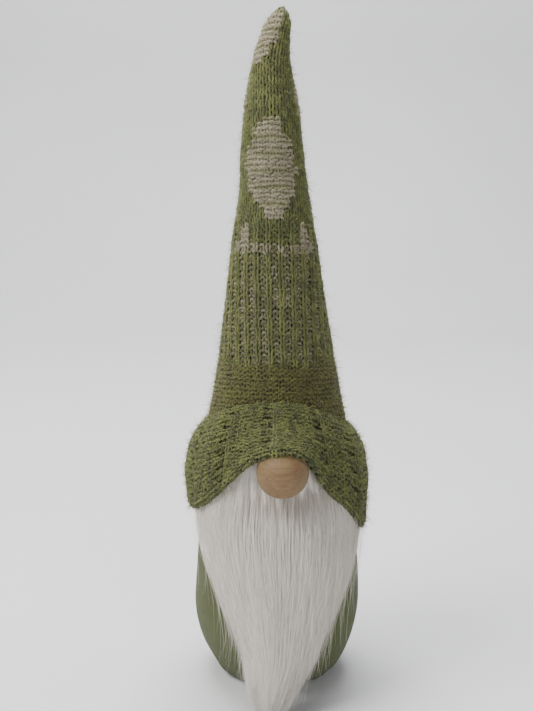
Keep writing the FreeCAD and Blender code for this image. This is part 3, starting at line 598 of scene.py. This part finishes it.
def knit_cone():
    """The cone's stitches, row by row, in three pieces."""
    rng = np.random.default_rng(11)
    pieces = {"cone_foot": Bundle(), "cone_low": Bundle(), "cone_high": Bundle()}
    s = LENGTH_AT(FIRST_ROW)
    while s < CONE_LENGTH + 2:
        band = HEIGHT_AT(s) < DENSE_TOP
        pitch = ROW * (0.86 if band else 1.0)
        wales = np.arange(-MOST_WALES, MOST_WALES + 1)
        inside = np.abs(on_cone(wales * WALE, min(s, CONE_LENGTH))[2]) < pi * 1.02
        reach_out = np.argmin(np.append(inside[MOST_WALES:] & inside[MOST_WALES::-1], False))
        wales = np.arange(-reach_out + 1, reach_out)
        if len(wales) < 2:
            break
        u0 = wales * WALE
        z0 = cone(u0, np.full(len(u0), float(s)))[:, 2]
        colour, faces, lifts = cone_tints(rng, u0, z0)
        reach = np.where(faces > 0, 0.72, 0.86)
        reach[lifts == INLAY] = 0.45
        jitter = 0.15 if band else 0.13
        stitch, across, up, out = row_of_stitches(rng, len(wales), faces, reach, 0.66, jitter, lifts)
        u = (across + wales[0]) * WALE
        along = s + up * pitch
        base = cone(u, along)
        normal = normals(cone, u, along, 0.2, 0.2)
        path = base + normal * out[:, None]
        around = np.degrees(np.arctan2(path[:, 0], -path[:, 1]))
        keep = path[:, 2] > np.maximum(HIDDEN, np.interp(around, CUFF_ANGLES, CUFF_TOP) - TUCK)
        high, foot = z0[stitch] > SPLIT, z0[stitch] <= FOOT_SPLIT
        parts = {"cone_foot": keep & foot, "cone_low": keep & ~high & ~foot, "cone_high": keep & high}
        for name, chosen in parts.items():
            for a, b in runs(chosen):
                if b - a < 4:
                    continue
                tints = colour[stitch[a:b]]
                radius = np.where(lifts[stitch[a:b]] == INLAY, PALE_YARN, YARN)
                pieces[name].add(*sweep(path[None, a:b], radius[None], normal[None, a:b], 5,
                                        values={"tint": tints[None]}))
                note_fuzz(name, path[a:b], normal[a:b], tints, rng)
        for a, b in runs(lifts == INLAY):
            if b - a < 2:
                continue
            behind = pieces["cone_low" if z0[a] < SPLIT else "cone_high"]
            add_between(behind, rng, b - a, wales[a], s + pitch / 2)
        s += pitch
    return [dress(bundle.make("hat_" + name), HAT_YARN, "hat_yarn") for name, bundle in pieces.items()]


# angles of the ladders of dropped stitches
LADDERS = np.radians([-36.5, -6.8, 26.5, 55, 79, 115, 145, 175, -66, -96, -126, -156])


def knit_cuff():
    """The cuff's stitches in closed rounds, with ladders of dropped stitches, and its fold turned under."""
    rng = np.random.default_rng(23)
    outer, under = Bundle(), Bundle()
    centres = (np.arange(CUFF_WALES) + 0.5) / CUFF_WALES * TURN - pi
    gap = (centres[:, None] - LADDERS[None] + pi) % TURN - pi
    width = TURN / CUFF_WALES
    ladder = np.abs(gap).min(1) < width * 1.1
    beside = ((gap >= width * 1.1) & (gap < width * 2)).any(1)
    for row in range(CUFF_ROWS + ROWS_UNDER):
        place = (row + 0.3) / CUFF_ROWS
        faces = np.where(beside, -0.4, 1.0)
        lifts = np.where(beside, 0.15, 0.0)
        reach = np.full(CUFF_WALES, 0.74)
        colour = CUFF_GREEN * rng.uniform(0.5, 1.55, (CUFF_WALES, 1))
        colour[rng.uniform(0, 1, CUFF_WALES) < 0.12] *= 1.3
        if row < CUFF_ROWS - 1:
            lifts[ladder] = -0.5
            # every third row of a ladder sinks deep, its yarn darkened as painted shade in the holes
            if row % 3 == 1:
                lifts[ladder], reach[ladder] = -2.6, 0.2
                colour[ladder] *= 0.3
            elif row % 3 == 2:
                reach[ladder] = 0.3
        stitch, across, up, out = row_of_stitches(rng, CUFF_WALES, faces, reach, 0.8, 0.15, lifts)
        angle = (across + 0.5) * width - pi
        down = np.maximum(place - up / CUFF_ROWS * np.where(place > 1, 0.6, 1.0), 0.0)
        normal = -normals(cuff, angle, down, 0.004, 0.004)
        path = cuff(angle, down) + normal * out[:, None]
        tints = colour[stitch]
        part = outer if row < ROWS_ABOVE else under
        part.add(*sweep(path[None], CUFF_YARN, normal[None], 5, True, {"tint": tints[None]}))
        if place < 1.1:
            note_fuzz("cuff", path, normal, tints, rng)
    return [dress(piece, HAT_YARN, "hat_yarn")
            for piece in (outer.make("hat_cuff_upper"), under.make("hat_cuff_lower"))]


def knit_shade_shells():
    """Shells painted dark as the shade behind the stitches: a cuff shell and two cone shells."""
    columns = 180
    angle = np.linspace(-pi, pi, columns, endpoint=False)
    places = np.concatenate([np.linspace(0.015, 1.0, 40), 1 + np.linspace(0.01, 0.16, 8)])
    a, p = np.meshgrid(angle, places)
    normal = -normals(cuff, a.ravel(), p.ravel(), 0.004, 0.004)
    outside = cuff(a.ravel(), p.ravel(), False) - 1.1 * normal
    inside = cuff(a.ravel(), np.minimum(p.ravel(), 1.0), False) - 3.4 * normal
    outside, inside = (side.reshape(len(places), -1, 3) for side in (outside, inside))
    inside = inside[::-1]
    points = np.concatenate([outside, inside[8:], outside[:1]])
    made = [make("hat_cuff_shade_shell", points.reshape(-1, 3), [grid_faces(len(points), columns)[:, ::-1]])]

    columns = 96
    angle = np.linspace(-pi, pi, columns, endpoint=False)
    ends = {"hat_cone_shade_shell_low": (134.0, SPLIT + 1), "hat_cone_shade_shell_high": (SPLIT - 1, TOP - 1.6)}
    for name, (low, high) in ends.items():
        z = np.linspace(low, high, 70)

        def ring(inset):
            r = np.maximum(cone_radius(z) - inset, 0.3)[:, None]
            return np.stack([CONE_SHIFT(z)[:, None] + r * np.sin(angle), -r * np.cos(angle),
                             z[:, None] + 0 * angle], -1)
        points = np.concatenate([ring(2.5), ring(3.9)[::-1], ring(2.5)[:1]])
        made.append(make(name, points.reshape(-1, 3), [grid_faces(len(points), columns)]))
    return [dress(piece, material, "hat_yarn")
            for piece, material in zip(made, (KNIT_PAINTED_SHADE, CONE_PAINTED_SHADE, CONE_PAINTED_SHADE))]


CLOTH = 4.6  # from the cone's outside to its wadding


def hat_stuffing(name, low, high):
    """Wadding that fills the cone's cloth between two heights."""
    z = np.linspace(low, high, 40)
    ends = np.sqrt(np.clip(1 - (np.abs(z - (low + high) / 2) / ((high - low) / 2)) ** 14, 0, 1))
    radii = np.maximum((cone_radius(z) - CLOTH) * ends, 0.3)

    def soft(points):
        angle = np.arctan2(points[:, 1], points[:, 0])
        bulge = 0.3 * np.sin(5 * angle + points[:, 2] / 7) * np.sin(points[:, 2] / 9 + 2 * angle)
        scale = 1 + bulge / np.maximum(np.hypot(points[:, 0], points[:, 1]), 4)
        x = points[:, 0] * scale + CONE_SHIFT(points[:, 2])
        return np.stack([x, points[:, 1] * scale, points[:, 2]], -1)
    return lathe(name, radii, z, 64, soft)


SEAM_PITCH, SEAM_RADIUS = 4.2, 0.75  # rise of one whip stitch, and its yarn's radius


def seam(name, low, high):
    """Whip stitches that close the back of the cone between two heights."""
    z = np.linspace(low, high, int((high - low) * 4))
    turn = z / SEAM_PITCH * TURN
    radius = cone_radius(z)
    reach = np.interp(z, [300, 340], [2.3, 3.1])
    path = np.stack([CONE_SHIFT(z) + reach * np.cos(turn), radius - 1.0 - reach * 0.15 + 1.1 * np.sin(turn),
                     z + 0.8 * np.cos(turn)], -1)
    tints = np.tile(GREEN * 0.8, (len(z), 1))
    backward = np.tile([0.0, 1, 0.2], (1, len(z), 1))
    yarn = make(name, *sweep(path[None], SEAM_RADIUS, backward, 6, values={"tint": tints[None]}))
    return dress(yarn, SEAM_YARN, "seam_yarn")


def fuzz(name, zone, seed, longest, steps, thick):
    """Fine fibres that stand off the yarn, as closed tapering hairs."""
    rng = np.random.default_rng(seed)
    point, out, colour = (np.concatenate(part) for part in zip(*FUZZ[zone]))
    n = len(point)
    point = point + out * 0.4 + rng.normal(0, 0.35, (n, 3))
    length = longest * rng.beta(1.6, 3.2, n) + 0.8
    heading = unit(out * rng.uniform(0.35, 1.1, (n, 1)) + rng.normal(0, 0.65, (n, 3)))
    bend = rng.normal(0, 0.45, (n, 3)) + [0, 0, -0.15]
    along = np.linspace(0, 1, steps)
    path = (point[:, None] + heading[:, None] * (length[:, None] * along)[:, :, None]
            + bend[:, None] * (length[:, None] * along ** 2)[:, :, None])
    radius = thick * np.interp(along, [0, 0.6, 1], [1, 0.8, 0.2])[None] * rng.uniform(0.7, 1.3, (n, 1))
    # the fibres are lighter than their yarn, a painted highlight for the light that the fuzz catches
    tint = (colour * 0.9 + LIGHT * 0.85) * rng.uniform(0.8, 1.25, (n, 1))
    hint = unit(rng.normal(0, 1, (n, 1, 3))) + np.zeros((1, steps, 1))
    hairs = sweep(path, radius, hint, 3, values={"tint": np.repeat(tint[:, None], steps, 1)})
    return dress(make(name, *hairs), HAT_FUZZ, "hat_yarn")


def coat(zone, seed):
    """Long loose hairs and short down over one zone of the hat."""
    place = zone.replace("cone_", "")
    return [fuzz("hat_fuzz_" + place, zone, seed, 5.6, 4, 0.08),
            fuzz("hat_down_" + place, zone, seed + 10, 2.4, 3, 0.07)]


# ---- body

def node_profile(name, heights):
    """Outer radius of a turned CAD node at these heights, in mm."""
    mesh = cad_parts[name].data
    points = np.array([v.co for v in mesh.vertices]) / MM
    ends = points[np.array([e.vertices[:] for e in mesh.edges])]
    r, z = np.hypot(ends[..., 0], ends[..., 1]), ends[..., 2]
    rise = z[:, 1] - z[:, 0]
    share = (heights[:, None] - z[:, 0]) / np.where(np.abs(rise) < 1e-6, 1e9, rise)
    crossed = (share >= 0) & (share <= 1) & (np.abs(rise) > 1e-6)
    return np.where(crossed, r[:, 0] + share * (r[:, 1] - r[:, 0]), 0).max(1)


def body():
    """The fleece cover: a stuffed bag, gathered at its neck and pulled under at its foot."""
    ground, foot_round, wall, inner_floor = 0.3, 5.0, 1.0, 1.9
    z = np.concatenate([np.linspace(ground, 6, 8), np.linspace(7.5, 166, 96), np.linspace(167, 189.7, 30)])
    r = node_profile("body_cover", z) - 0.3
    rounded = np.clip((z - ground) / foot_round, 0, 1)
    r = r - foot_round * (1 - np.sqrt(1 - (1 - rounded) ** 2))
    r = np.convolve(np.pad(r, 1, "edge"), [0.25, 0.5, 0.25], "valid")
    radii = np.concatenate([[0.5], [r[0] * 0.5], r, (r - wall)[::-1], [1.0]])
    heights = np.concatenate([[ground], [ground], z, np.maximum(z, inner_floor)[::-1], [inner_floor]])

    def sag(points):
        """Pulls the foot in, gathers the neck and lets the trunk go a little slack."""
        angle = np.arctan2(points[:, 0], -points[:, 1])
        r0 = np.hypot(points[:, 0], points[:, 1])
        h = points[:, 2]
        foot = np.exp(-((h - 6) / 12) ** 2) * (h > 0.5)
        gather = np.exp(-((h - 172) / 10) ** 2)
        slack = np.clip(h / 30, 0, 1) * np.clip((150 - h) / 40, 0, 1)
        move = (foot * 0.45 * np.sin(17 * angle + 1.5 * np.sin(3 * angle)) - 0.45 * foot
                + gather * 0.9 * np.sin(15 * angle + np.sin(2 * angle)) - 0.9 * gather
                + slack * (0.3 * np.sin(2 * angle + h / 26) + 0.22 * np.sin(3 * angle - h / 17 + 1)
                           + 0.18 * np.sin(h / 11 + 2 * np.sin(angle))))
        scale = np.where(r0 > 5, (r0 + move) / np.maximum(r0, 1), 1)
        return np.stack([points[:, 0] * scale, points[:, 1] * scale, h], -1)
    return dress(lathe("body_cover_cloth", radii, heights, 160, sag), fleece_material(), "body_fleece")


# ---- beard

# half width, middle and front face of the beard by height
BEARD_HALF = curve([(0, 3.4), (4, 6), (10, 9.2), (22, 15.6), (36, 21), (48, 26.3), (66, 35.6), (85, 45.6),
                    (103, 52), (115, 52), (130, 47.5), (145, 41.5), (160, 35)], 4)
BEARD_MIDDLE = curve([(0, -4.2), (11, -3.6), (25, -0.5), (37, 1.6), (74, 2.0), (103, 0.6), (160, 0.5)], 5)
BEARD_FRONT = curve([(0, 75.5), (20, 74), (50, 71), (80, 68.5), (103, 66), (125, 63), (140, 58.5),
                     (160, 50)], 6)
_body_z = np.linspace(0.2, 189, 190)
_body_r = node_profile("body_cover", _body_z)
BELLY, BRIM = 48.0, 112.0  # heights of the belly's widest part and of the cuff's fold over the beard
# the beard lies on the body down to the belly, and hangs free below it
BEARD_INNER = lambda z: np.where(z < BELLY, np.interp(z, [0, 20, BELLY], [68.5, 60, 53.6]),
                                 np.interp(z, _body_z, _body_r) + 1.6)


def beard_point(p, z, k, width=None):
    """A point of the beard: p across from -1 to 1, height z, k from 0 on the body to 1 on the outside."""
    half = BEARD_HALF(z) if width is None else width
    x = BEARD_MIDDLE(z) + p * half
    body = BEARD_INNER(z)
    inner = np.sqrt(np.maximum(body ** 2 - x ** 2, 0))
    rim = np.sqrt(np.maximum(body ** 2 - half ** 2, 0))
    round_off = np.clip(1 - np.clip(np.abs(p), 0, 1) ** 2.2, 0, 1) ** 0.55
    least = inner + 1.0 + 2.0 * (1 - np.clip(np.abs(p), 0, 1))
    outer = np.maximum(rim + (BEARD_FRONT(z) - rim) * round_off, least)
    return np.stack([x, -(inner + k * (outer - inner)), z], -1)


def clear_nose(path, room):
    """Pushes points that come too near the nose out of it, sideways and down."""
    away = path - NOSE
    away[..., 2] = np.minimum(away[..., 2], 0.35 * np.abs(away[..., 0]))
    distance = np.linalg.norm(path - NOSE, axis=-1, keepdims=True)
    target = NOSE + unit(away) * (NOSE_RADIUS + room)
    return np.where(distance < NOSE_RADIUS + room, target, path)


LOCKS = 260


def strands(rng, count, wild=0.0):
    """Paths, radii and tones of fur strands that fall from the backing and gather into locks.

    wild above 0 gives shorter, thinner strands that stand off the rest.
    """
    # roots on the backing, and how far down each strand reaches
    steps = 10
    p = np.sign(rng.uniform(-1, 1, count)) * rng.uniform(0, 1, count) ** (0.85 - 0.35 * wild)
    z0 = rng.uniform(0, 1, count) ** 0.75 * 132 + 24
    p = p * np.where(z0 > 120, 0.97, 0.94)
    length = rng.uniform(58, 104, count) * np.clip(0.55 + z0 / 150, 0.6, 1.1)
    length = length * (1 - wild * rng.uniform(0, 0.7, count))
    z1 = np.maximum(z0 - length, 0.8 + 24 * rng.uniform(0, 1, count) ** 2.2)
    # locks: where each one ends, and its lift, tone and outward lean
    lock_p, lock_z = rng.uniform(-1, 1, LOCKS), rng.uniform(0, 100, LOCKS)
    # fewer locks where the beard is narrow, so that they stay as wide as they are higher up
    spare = rng.uniform(0, 1, LOCKS) * BEARD_HALF(100.0) > BEARD_HALF(lock_z)
    lock_z = np.where(spare, 70 + 0.3 * lock_z, lock_z)
    lock_lift, lock_tone = rng.uniform(-0.12, 0.05, LOCKS), rng.uniform(-0.3, 0.22, LOCKS)
    lock_out = rng.normal(0.6, 2.4, LOCKS)
    gap = ((p[:, None] - lock_p) * BEARD_HALF(z1)[:, None]) ** 2 + ((z1[:, None] - lock_z) * 0.5) ** 2
    lock = gap.argmin(1)

    # each strand's course: down, across towards its lock, and out of the pile
    pull = rng.uniform(0.4, 0.95, count)
    tau = np.linspace(0, 1, steps)[None]
    end_z = np.maximum(z1 + (lock_z[lock] - z1) * pull * 0.35, 0.8)
    z = z0[:, None] + (end_z - z0)[:, None] * tau
    shift = ((lock_p[lock] - p) * pull)[:, None] * tau ** 1.6
    across = np.clip(p[:, None] + shift + rng.normal(0, 0.035, (count, 1)) * tau ** 2, -1.08, 1.08)
    carry = (rng.uniform(0, 0.13, count) + wild * rng.uniform(0, 0.8, count) ** 2)[:, None] * tau
    width = BEARD_HALF(z) * (1 - carry) + BEARD_HALF(z0)[:, None] * carry
    lift = rng.uniform(0.05, 0.5, count)[:, None]
    top = (rng.uniform(0.84, 1.04, count) + lock_lift[lock])[:, None]
    below_brim = np.clip((BRIM - z) / 14, 0, 1)
    k = lift + (top - lift) * np.minimum(tau * 2.2, 1) ** 0.8
    k = k + wild * rng.uniform(0, 0.25, (count, 1)) * below_brim
    path = beard_point(across, z, k, width)

    # a small wave; the outer strands lean out and the wild ones drift off
    phase = rng.uniform(0, TURN, (count, 1))
    size = rng.uniform(0.1, 0.7, (count, 1)) * tau
    path[..., 0] += size * np.sin(tau * rng.uniform(2, 7, (count, 1)) + phase)
    path[..., 1] -= np.abs(size * np.cos(tau * 4 + phase)) * 0.6
    edge = (np.clip(np.abs(p) - 0.55, 0, 1) * 2.2 * np.sign(p))[:, None]
    path[..., 0] += edge * (lock_out[lock][:, None] + rng.normal(0, 0.8, (count, 1))) * tau ** 2
    if wild:
        drift = (rng.uniform(-2, wild * 7, (count, 1)) + 3 * (z0[:, None] > 105)) * np.sign(p)[:, None]
        path[..., 0] += drift * tau ** 1.7 * below_brim
        path[..., 2] = np.maximum(path[..., 2], 0.7)
    path = clear_nose(path, 1.2)

    # tapering radii, and tones darkened under the nose and the brim as painted shade
    thick = rng.uniform(0.08, 0.15, (count, 1)) * (0.5 if wild else 1.0)
    radius = thick * np.interp(tau, [0, 0.15, 0.75, 1], [0.8, 1, 0.7, 0.12])
    tone = (rng.normal(0.58, 0.2, count) + lock_tone[lock])[:, None]
    under_nose = np.exp(-((path[..., 0] - NOSE[0]) / 20) ** 2 - ((path[..., 2] - 131) / 9) ** 2)
    under_brim = np.clip((path[..., 2] - 116) / 25, 0, 1)
    return path, radius, np.clip(tone - 0.7 * under_nose - 0.35 * under_brim, 0, 1)


PILE = fur_material()
BACKING = plain_material("fur_backing", (0.62, 0.60, 0.57), (0.82, 0.80, 0.77), 2.2, 0.9, (1, 1, 0.6))


def layer(name, front, back):
    """A closed layer between two grids of points."""
    rows, columns = front.shape[:2]
    index = np.arange(rows * columns).reshape(rows, columns)
    shift = index.size
    quads = [grid_faces(rows, columns, False), grid_faces(rows, columns, False)[:, ::-1] + shift]
    for edge in (index[0], index[:, -1], index[-1][::-1], index[:, 0][::-1]):
        quads.append(np.stack([edge[1:], edge[:-1], edge[:-1] + shift, edge[1:] + shift], -1))
    return make(name, np.concatenate([front.reshape(-1, 3), back.reshape(-1, 3)]), [np.concatenate(quads)])


PER_PIECE, STRANDS, FLYAWAYS = 3500, 17500, 650
BACKING_ENDS, BACKING_THICKNESS = (12.0, 150.0), 1.0
BACKING_SHARE = 0.80  # the cloth's width as a share of the fur's


def fur(name, rng, count, wild=0.0):
    """One piece of the beard's fur."""
    path, radius, tone = strands(rng, count, wild)
    hairs = sweep(path, radius, unit(path * [0.4, 1, 0]), 3, values={"tone": tone})
    return dress(make(name, *hairs), PILE, "beard_fur")


def beard():
    """The fur in several pieces, a solid under-layer and the cloth backing."""
    rng = np.random.default_rng(37)
    total = STRANDS
    made = [fur(f"beard_strands_{k + 1}", rng, PER_PIECE) for k in range(total // PER_PIECE)]
    made.append(fur("beard_flyaways", rng, FLYAWAYS, 1.0))

    z = np.concatenate([np.linspace(20, 30, 8), np.linspace(32, 152, 60)])
    p = np.linspace(-1, 1, 61)
    grid_p, grid_z = np.meshgrid(p * 0.84, z)
    front = clear_nose(beard_point(grid_p, grid_z, 0.70 + 0.04 * np.sin(grid_p * 41 + grid_z / 9)), 2.5)
    back = beard_point(grid_p, grid_z, 0.04)
    ground = dress(layer("beard_under_layer", front, back), fur_ground_material(), "beard_fur")

    grid_p, grid_z = np.meshgrid(p * BACKING_SHARE, np.linspace(*BACKING_ENDS, 60))
    front = beard_point(grid_p, grid_z, 0.0)
    thickness = [0, BACKING_THICKNESS, 0]
    lining = dress(layer("beard_backing_cloth", front, front + thickness), BACKING, "fur_backing")
    return made, ground, lining


# ---- nose

def nose():
    """A turned ball, a little out of true, with its back sanded flat."""
    columns, rows = 72, 48
    theta = np.linspace(0.03, pi * 0.80, rows)
    radii = np.concatenate([NOSE_RADIUS * np.sin(theta), [0.4]])
    depth = np.concatenate([-NOSE_RADIUS * np.cos(theta), [-NOSE_RADIUS * np.cos(theta[-1])]])
    angle = np.arange(columns) * TURN / columns
    r, d = radii[:, None], depth[:, None]
    wave = 1 + 0.006 * np.sin(2 * angle + 0.6) + 0.004 * np.sin(3 * angle + r / 4)
    flat = 1 - 0.025 * np.exp(-((angle - pi) / 0.5) ** 2)
    points = np.stack([NOSE[0] + r * wave * flat * np.cos(angle), NOSE[1] + d + 0 * angle,
                       NOSE[2] + r * wave * np.sin(angle)], -1)
    last = rows * columns
    ring = np.arange(columns)
    ball = make("nose_turned_ball", points.reshape(-1, 3),
                [grid_faces(rows + 1, columns)[:, ::-1], ring[None], (last + ring)[::-1][None]])
    return dress(ball, wood_material(), "nose_wood")


# ---- stage

def stage():
    """A pale floor that curves up into a backdrop, the lights and the camera.

    The key light is high on the left, the fill low on the front right, the top light above and behind.
    """
    bend_start, bend_radius, wall_top, half_width = 980.0, 420.0, 2600.0, 3200.0
    theta = np.linspace(0, pi / 2, 24)
    y = np.concatenate([[-2600], np.linspace(-900, bend_start, 12),
                        bend_start + bend_radius * np.sin(theta[1:]), [bend_start + bend_radius]])
    z = np.concatenate([[0], np.zeros(12), bend_radius * (1 - np.cos(theta[1:])), [wall_top]])
    x = np.linspace(-half_width, half_width, 9)
    points = np.stack([x[None] + 0 * y[:, None], y[:, None] + 0 * x[None], z[:, None] + 0 * x[None]], -1)
    floor = make("floor", points.reshape(-1, 3), [grid_faces(len(y), len(x), False)])
    m = Nodes("stage_paper", 0.7)
    soft = m.noise(m.place(), 0.004, 2.0)
    paper = m.ramp(soft, (0.3, (0.610, 0.615, 0.620)), (0.7, (0.630, 0.635, 0.640)))
    floor.data.materials.append(m.finish(paper))

    for name, place, aim, size, power, colour in (
            ("key_light", (-0.85, -0.4, 1.15), (0, 0, 0.2), 0.8, 25.0, (1.0, 0.985, 0.955)),
            ("fill_light", (0.5, -1.5, 0.6), (0, 0, 0.15), 1.2, 9.0, (1.0, 0.99, 0.98)),
            ("top_light", (-0.05, 0.45, 1.5), (0, 0.15, 0.0), 1.0, 44.0, (1, 1, 1))):
        data = bpy.data.lights.new(name, "AREA")
        data.shape, data.size, data.energy, data.color = "SQUARE", size, power, colour
        light = bpy.data.objects.new(name, data)
        light.location = place
        direction = np.array(aim) - np.array(place)
        light.rotation_euler = (np.arctan2(np.hypot(*direction[:2]), -direction[2]), 0,
                                np.arctan2(direction[1], direction[0]) - pi / 2)
        bpy.context.scene.collection.objects.link(light)
    world = bpy.data.worlds.new("studio")
    world.use_nodes = True
    around = world.node_tree.nodes["Background"]
    around.inputs["Color"].default_value = (0.93, 0.955, 1.0, 1)
    around.inputs["Strength"].default_value = 0.31
    bpy.context.scene.world = world

    camera = bpy.data.objects.new("camera", bpy.data.cameras.new("camera"))
    camera.data.lens, camera.data.sensor_width = 58.48, 36.0
    camera.data.clip_start = 0.01
    camera.location = (-0.0065, -0.680, 0.360)
    camera.rotation_euler = (radians(90 - 13.08), 0, 0)
    bpy.context.scene.collection.objects.link(camera)
    bpy.context.scene.camera = camera


# ---- assembly

stage()

cuff_pieces = knit_cuff()
cone_foot, cone_low, cone_high = knit_cone()
# dark shells of painted shade behind the stitches
cuff_gap_shade, low_gap_shade, high_gap_shade = knit_shade_shells()
seam_base = seam("hat_seam_yarn_base", 144, FOOT_SPLIT)
seam_middle = seam("hat_seam_yarn_middle", FOOT_SPLIT, SPLIT)
seam_tip = seam("hat_seam_yarn_tip", SPLIT, 399)
fuzz_cuff = coat("cuff", 5)
fuzz_foot = coat("cone_foot", 8)
fuzz_low = coat("cone_low", 6)
fuzz_high = coat("cone_high", 7)

for piece in (*cuff_pieces, cuff_gap_shade, *fuzz_cuff, seam_base):
    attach(piece, "root")
for piece in (cone_foot, cone_low, low_gap_shade, seam_middle, *fuzz_foot, *fuzz_low):
    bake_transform(piece)
for piece in (cone_high, high_gap_shade, seam_tip, *fuzz_high):
    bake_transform(piece)
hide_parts("hat_knit_base")
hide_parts("hat_knit_middle")
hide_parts("hat_knit_tip")
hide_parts("hat_seam_base")
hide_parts("hat_seam_middle")
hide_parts("hat_seam_tip")

WADDING = plain_material("stuffing", (0.74, 0.74, 0.72), (0.92, 0.92, 0.90), 0.6, 0.95, depth=0.001)
for part, low, high in (("base", 166, 246), ("middle", 248, 330), ("tip", 332, 395)):
    wad = dress(hat_stuffing("hat_wadding_" + part, low, high), WADDING, "stuffing")
    if part == "base":
        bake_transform(wad)
    elif part == "tip":
        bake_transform(wad)
    else:
        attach(wad, "hat_middle")
    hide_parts("hat_stuffing_" + part)

cover = body()
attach(cover, "root")
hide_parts("body_cover")

ball = nose()
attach(ball, "root")
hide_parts("nose_ball")

pile, under_layer, lining = beard()
for piece in (*pile, under_layer, lining):
    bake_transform(piece)
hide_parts("beard_fur")
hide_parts("beard_fur_top")
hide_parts("beard_backing", "beard_backing_top")

# what stays hidden inside keeps its CAD shape, with a material of its own
BOARD = plain_material("base_board", (0.36, 0.28, 0.19), (0.50, 0.41, 0.29), 0.8, 0.9, (1, 0.2, 1))
COTTON = plain_material("bag_cloth", (0.62, 0.59, 0.52), (0.76, 0.73, 0.66), 2.4, 0.9)
PELLETS = plain_material("pellets", (0.62, 0.62, 0.58), (0.84, 0.84, 0.80), 0.5, 0.5, depth=0.001)
CORD = plain_material("tie_cord", (0.44, 0.41, 0.34), (0.64, 0.60, 0.52), 2.0, 0.85, (1, 1, 3))
GLUE = plain_material("glue", (0.72, 0.70, 0.60), (0.86, 0.84, 0.76), 0.3, 0.25)
STEEL = plain_material("wire", (0.42, 0.42, 0.43), (0.62, 0.62, 0.62), 1.0, 0.35, (1, 1, 0.1), metallic=1.0)
for names, material, slot in (
        (("base_disc",), BOARD, "base_board"), (("weight_bag",), COTTON, "bag_cloth"),
        (("weight_fill",), PELLETS, "pellets"), (("weight_bag_tie", "neck_tie"), CORD, "tie_cord"),
        (("body_stuffing",), WADDING, "stuffing"), (("nose_glue",), GLUE, "glue"),
        (("hat_wire_base", "hat_wire_middle", "hat_wire_tip"), STEEL, "wire")):
    for name in names:
        dress(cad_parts[name], material, slot)
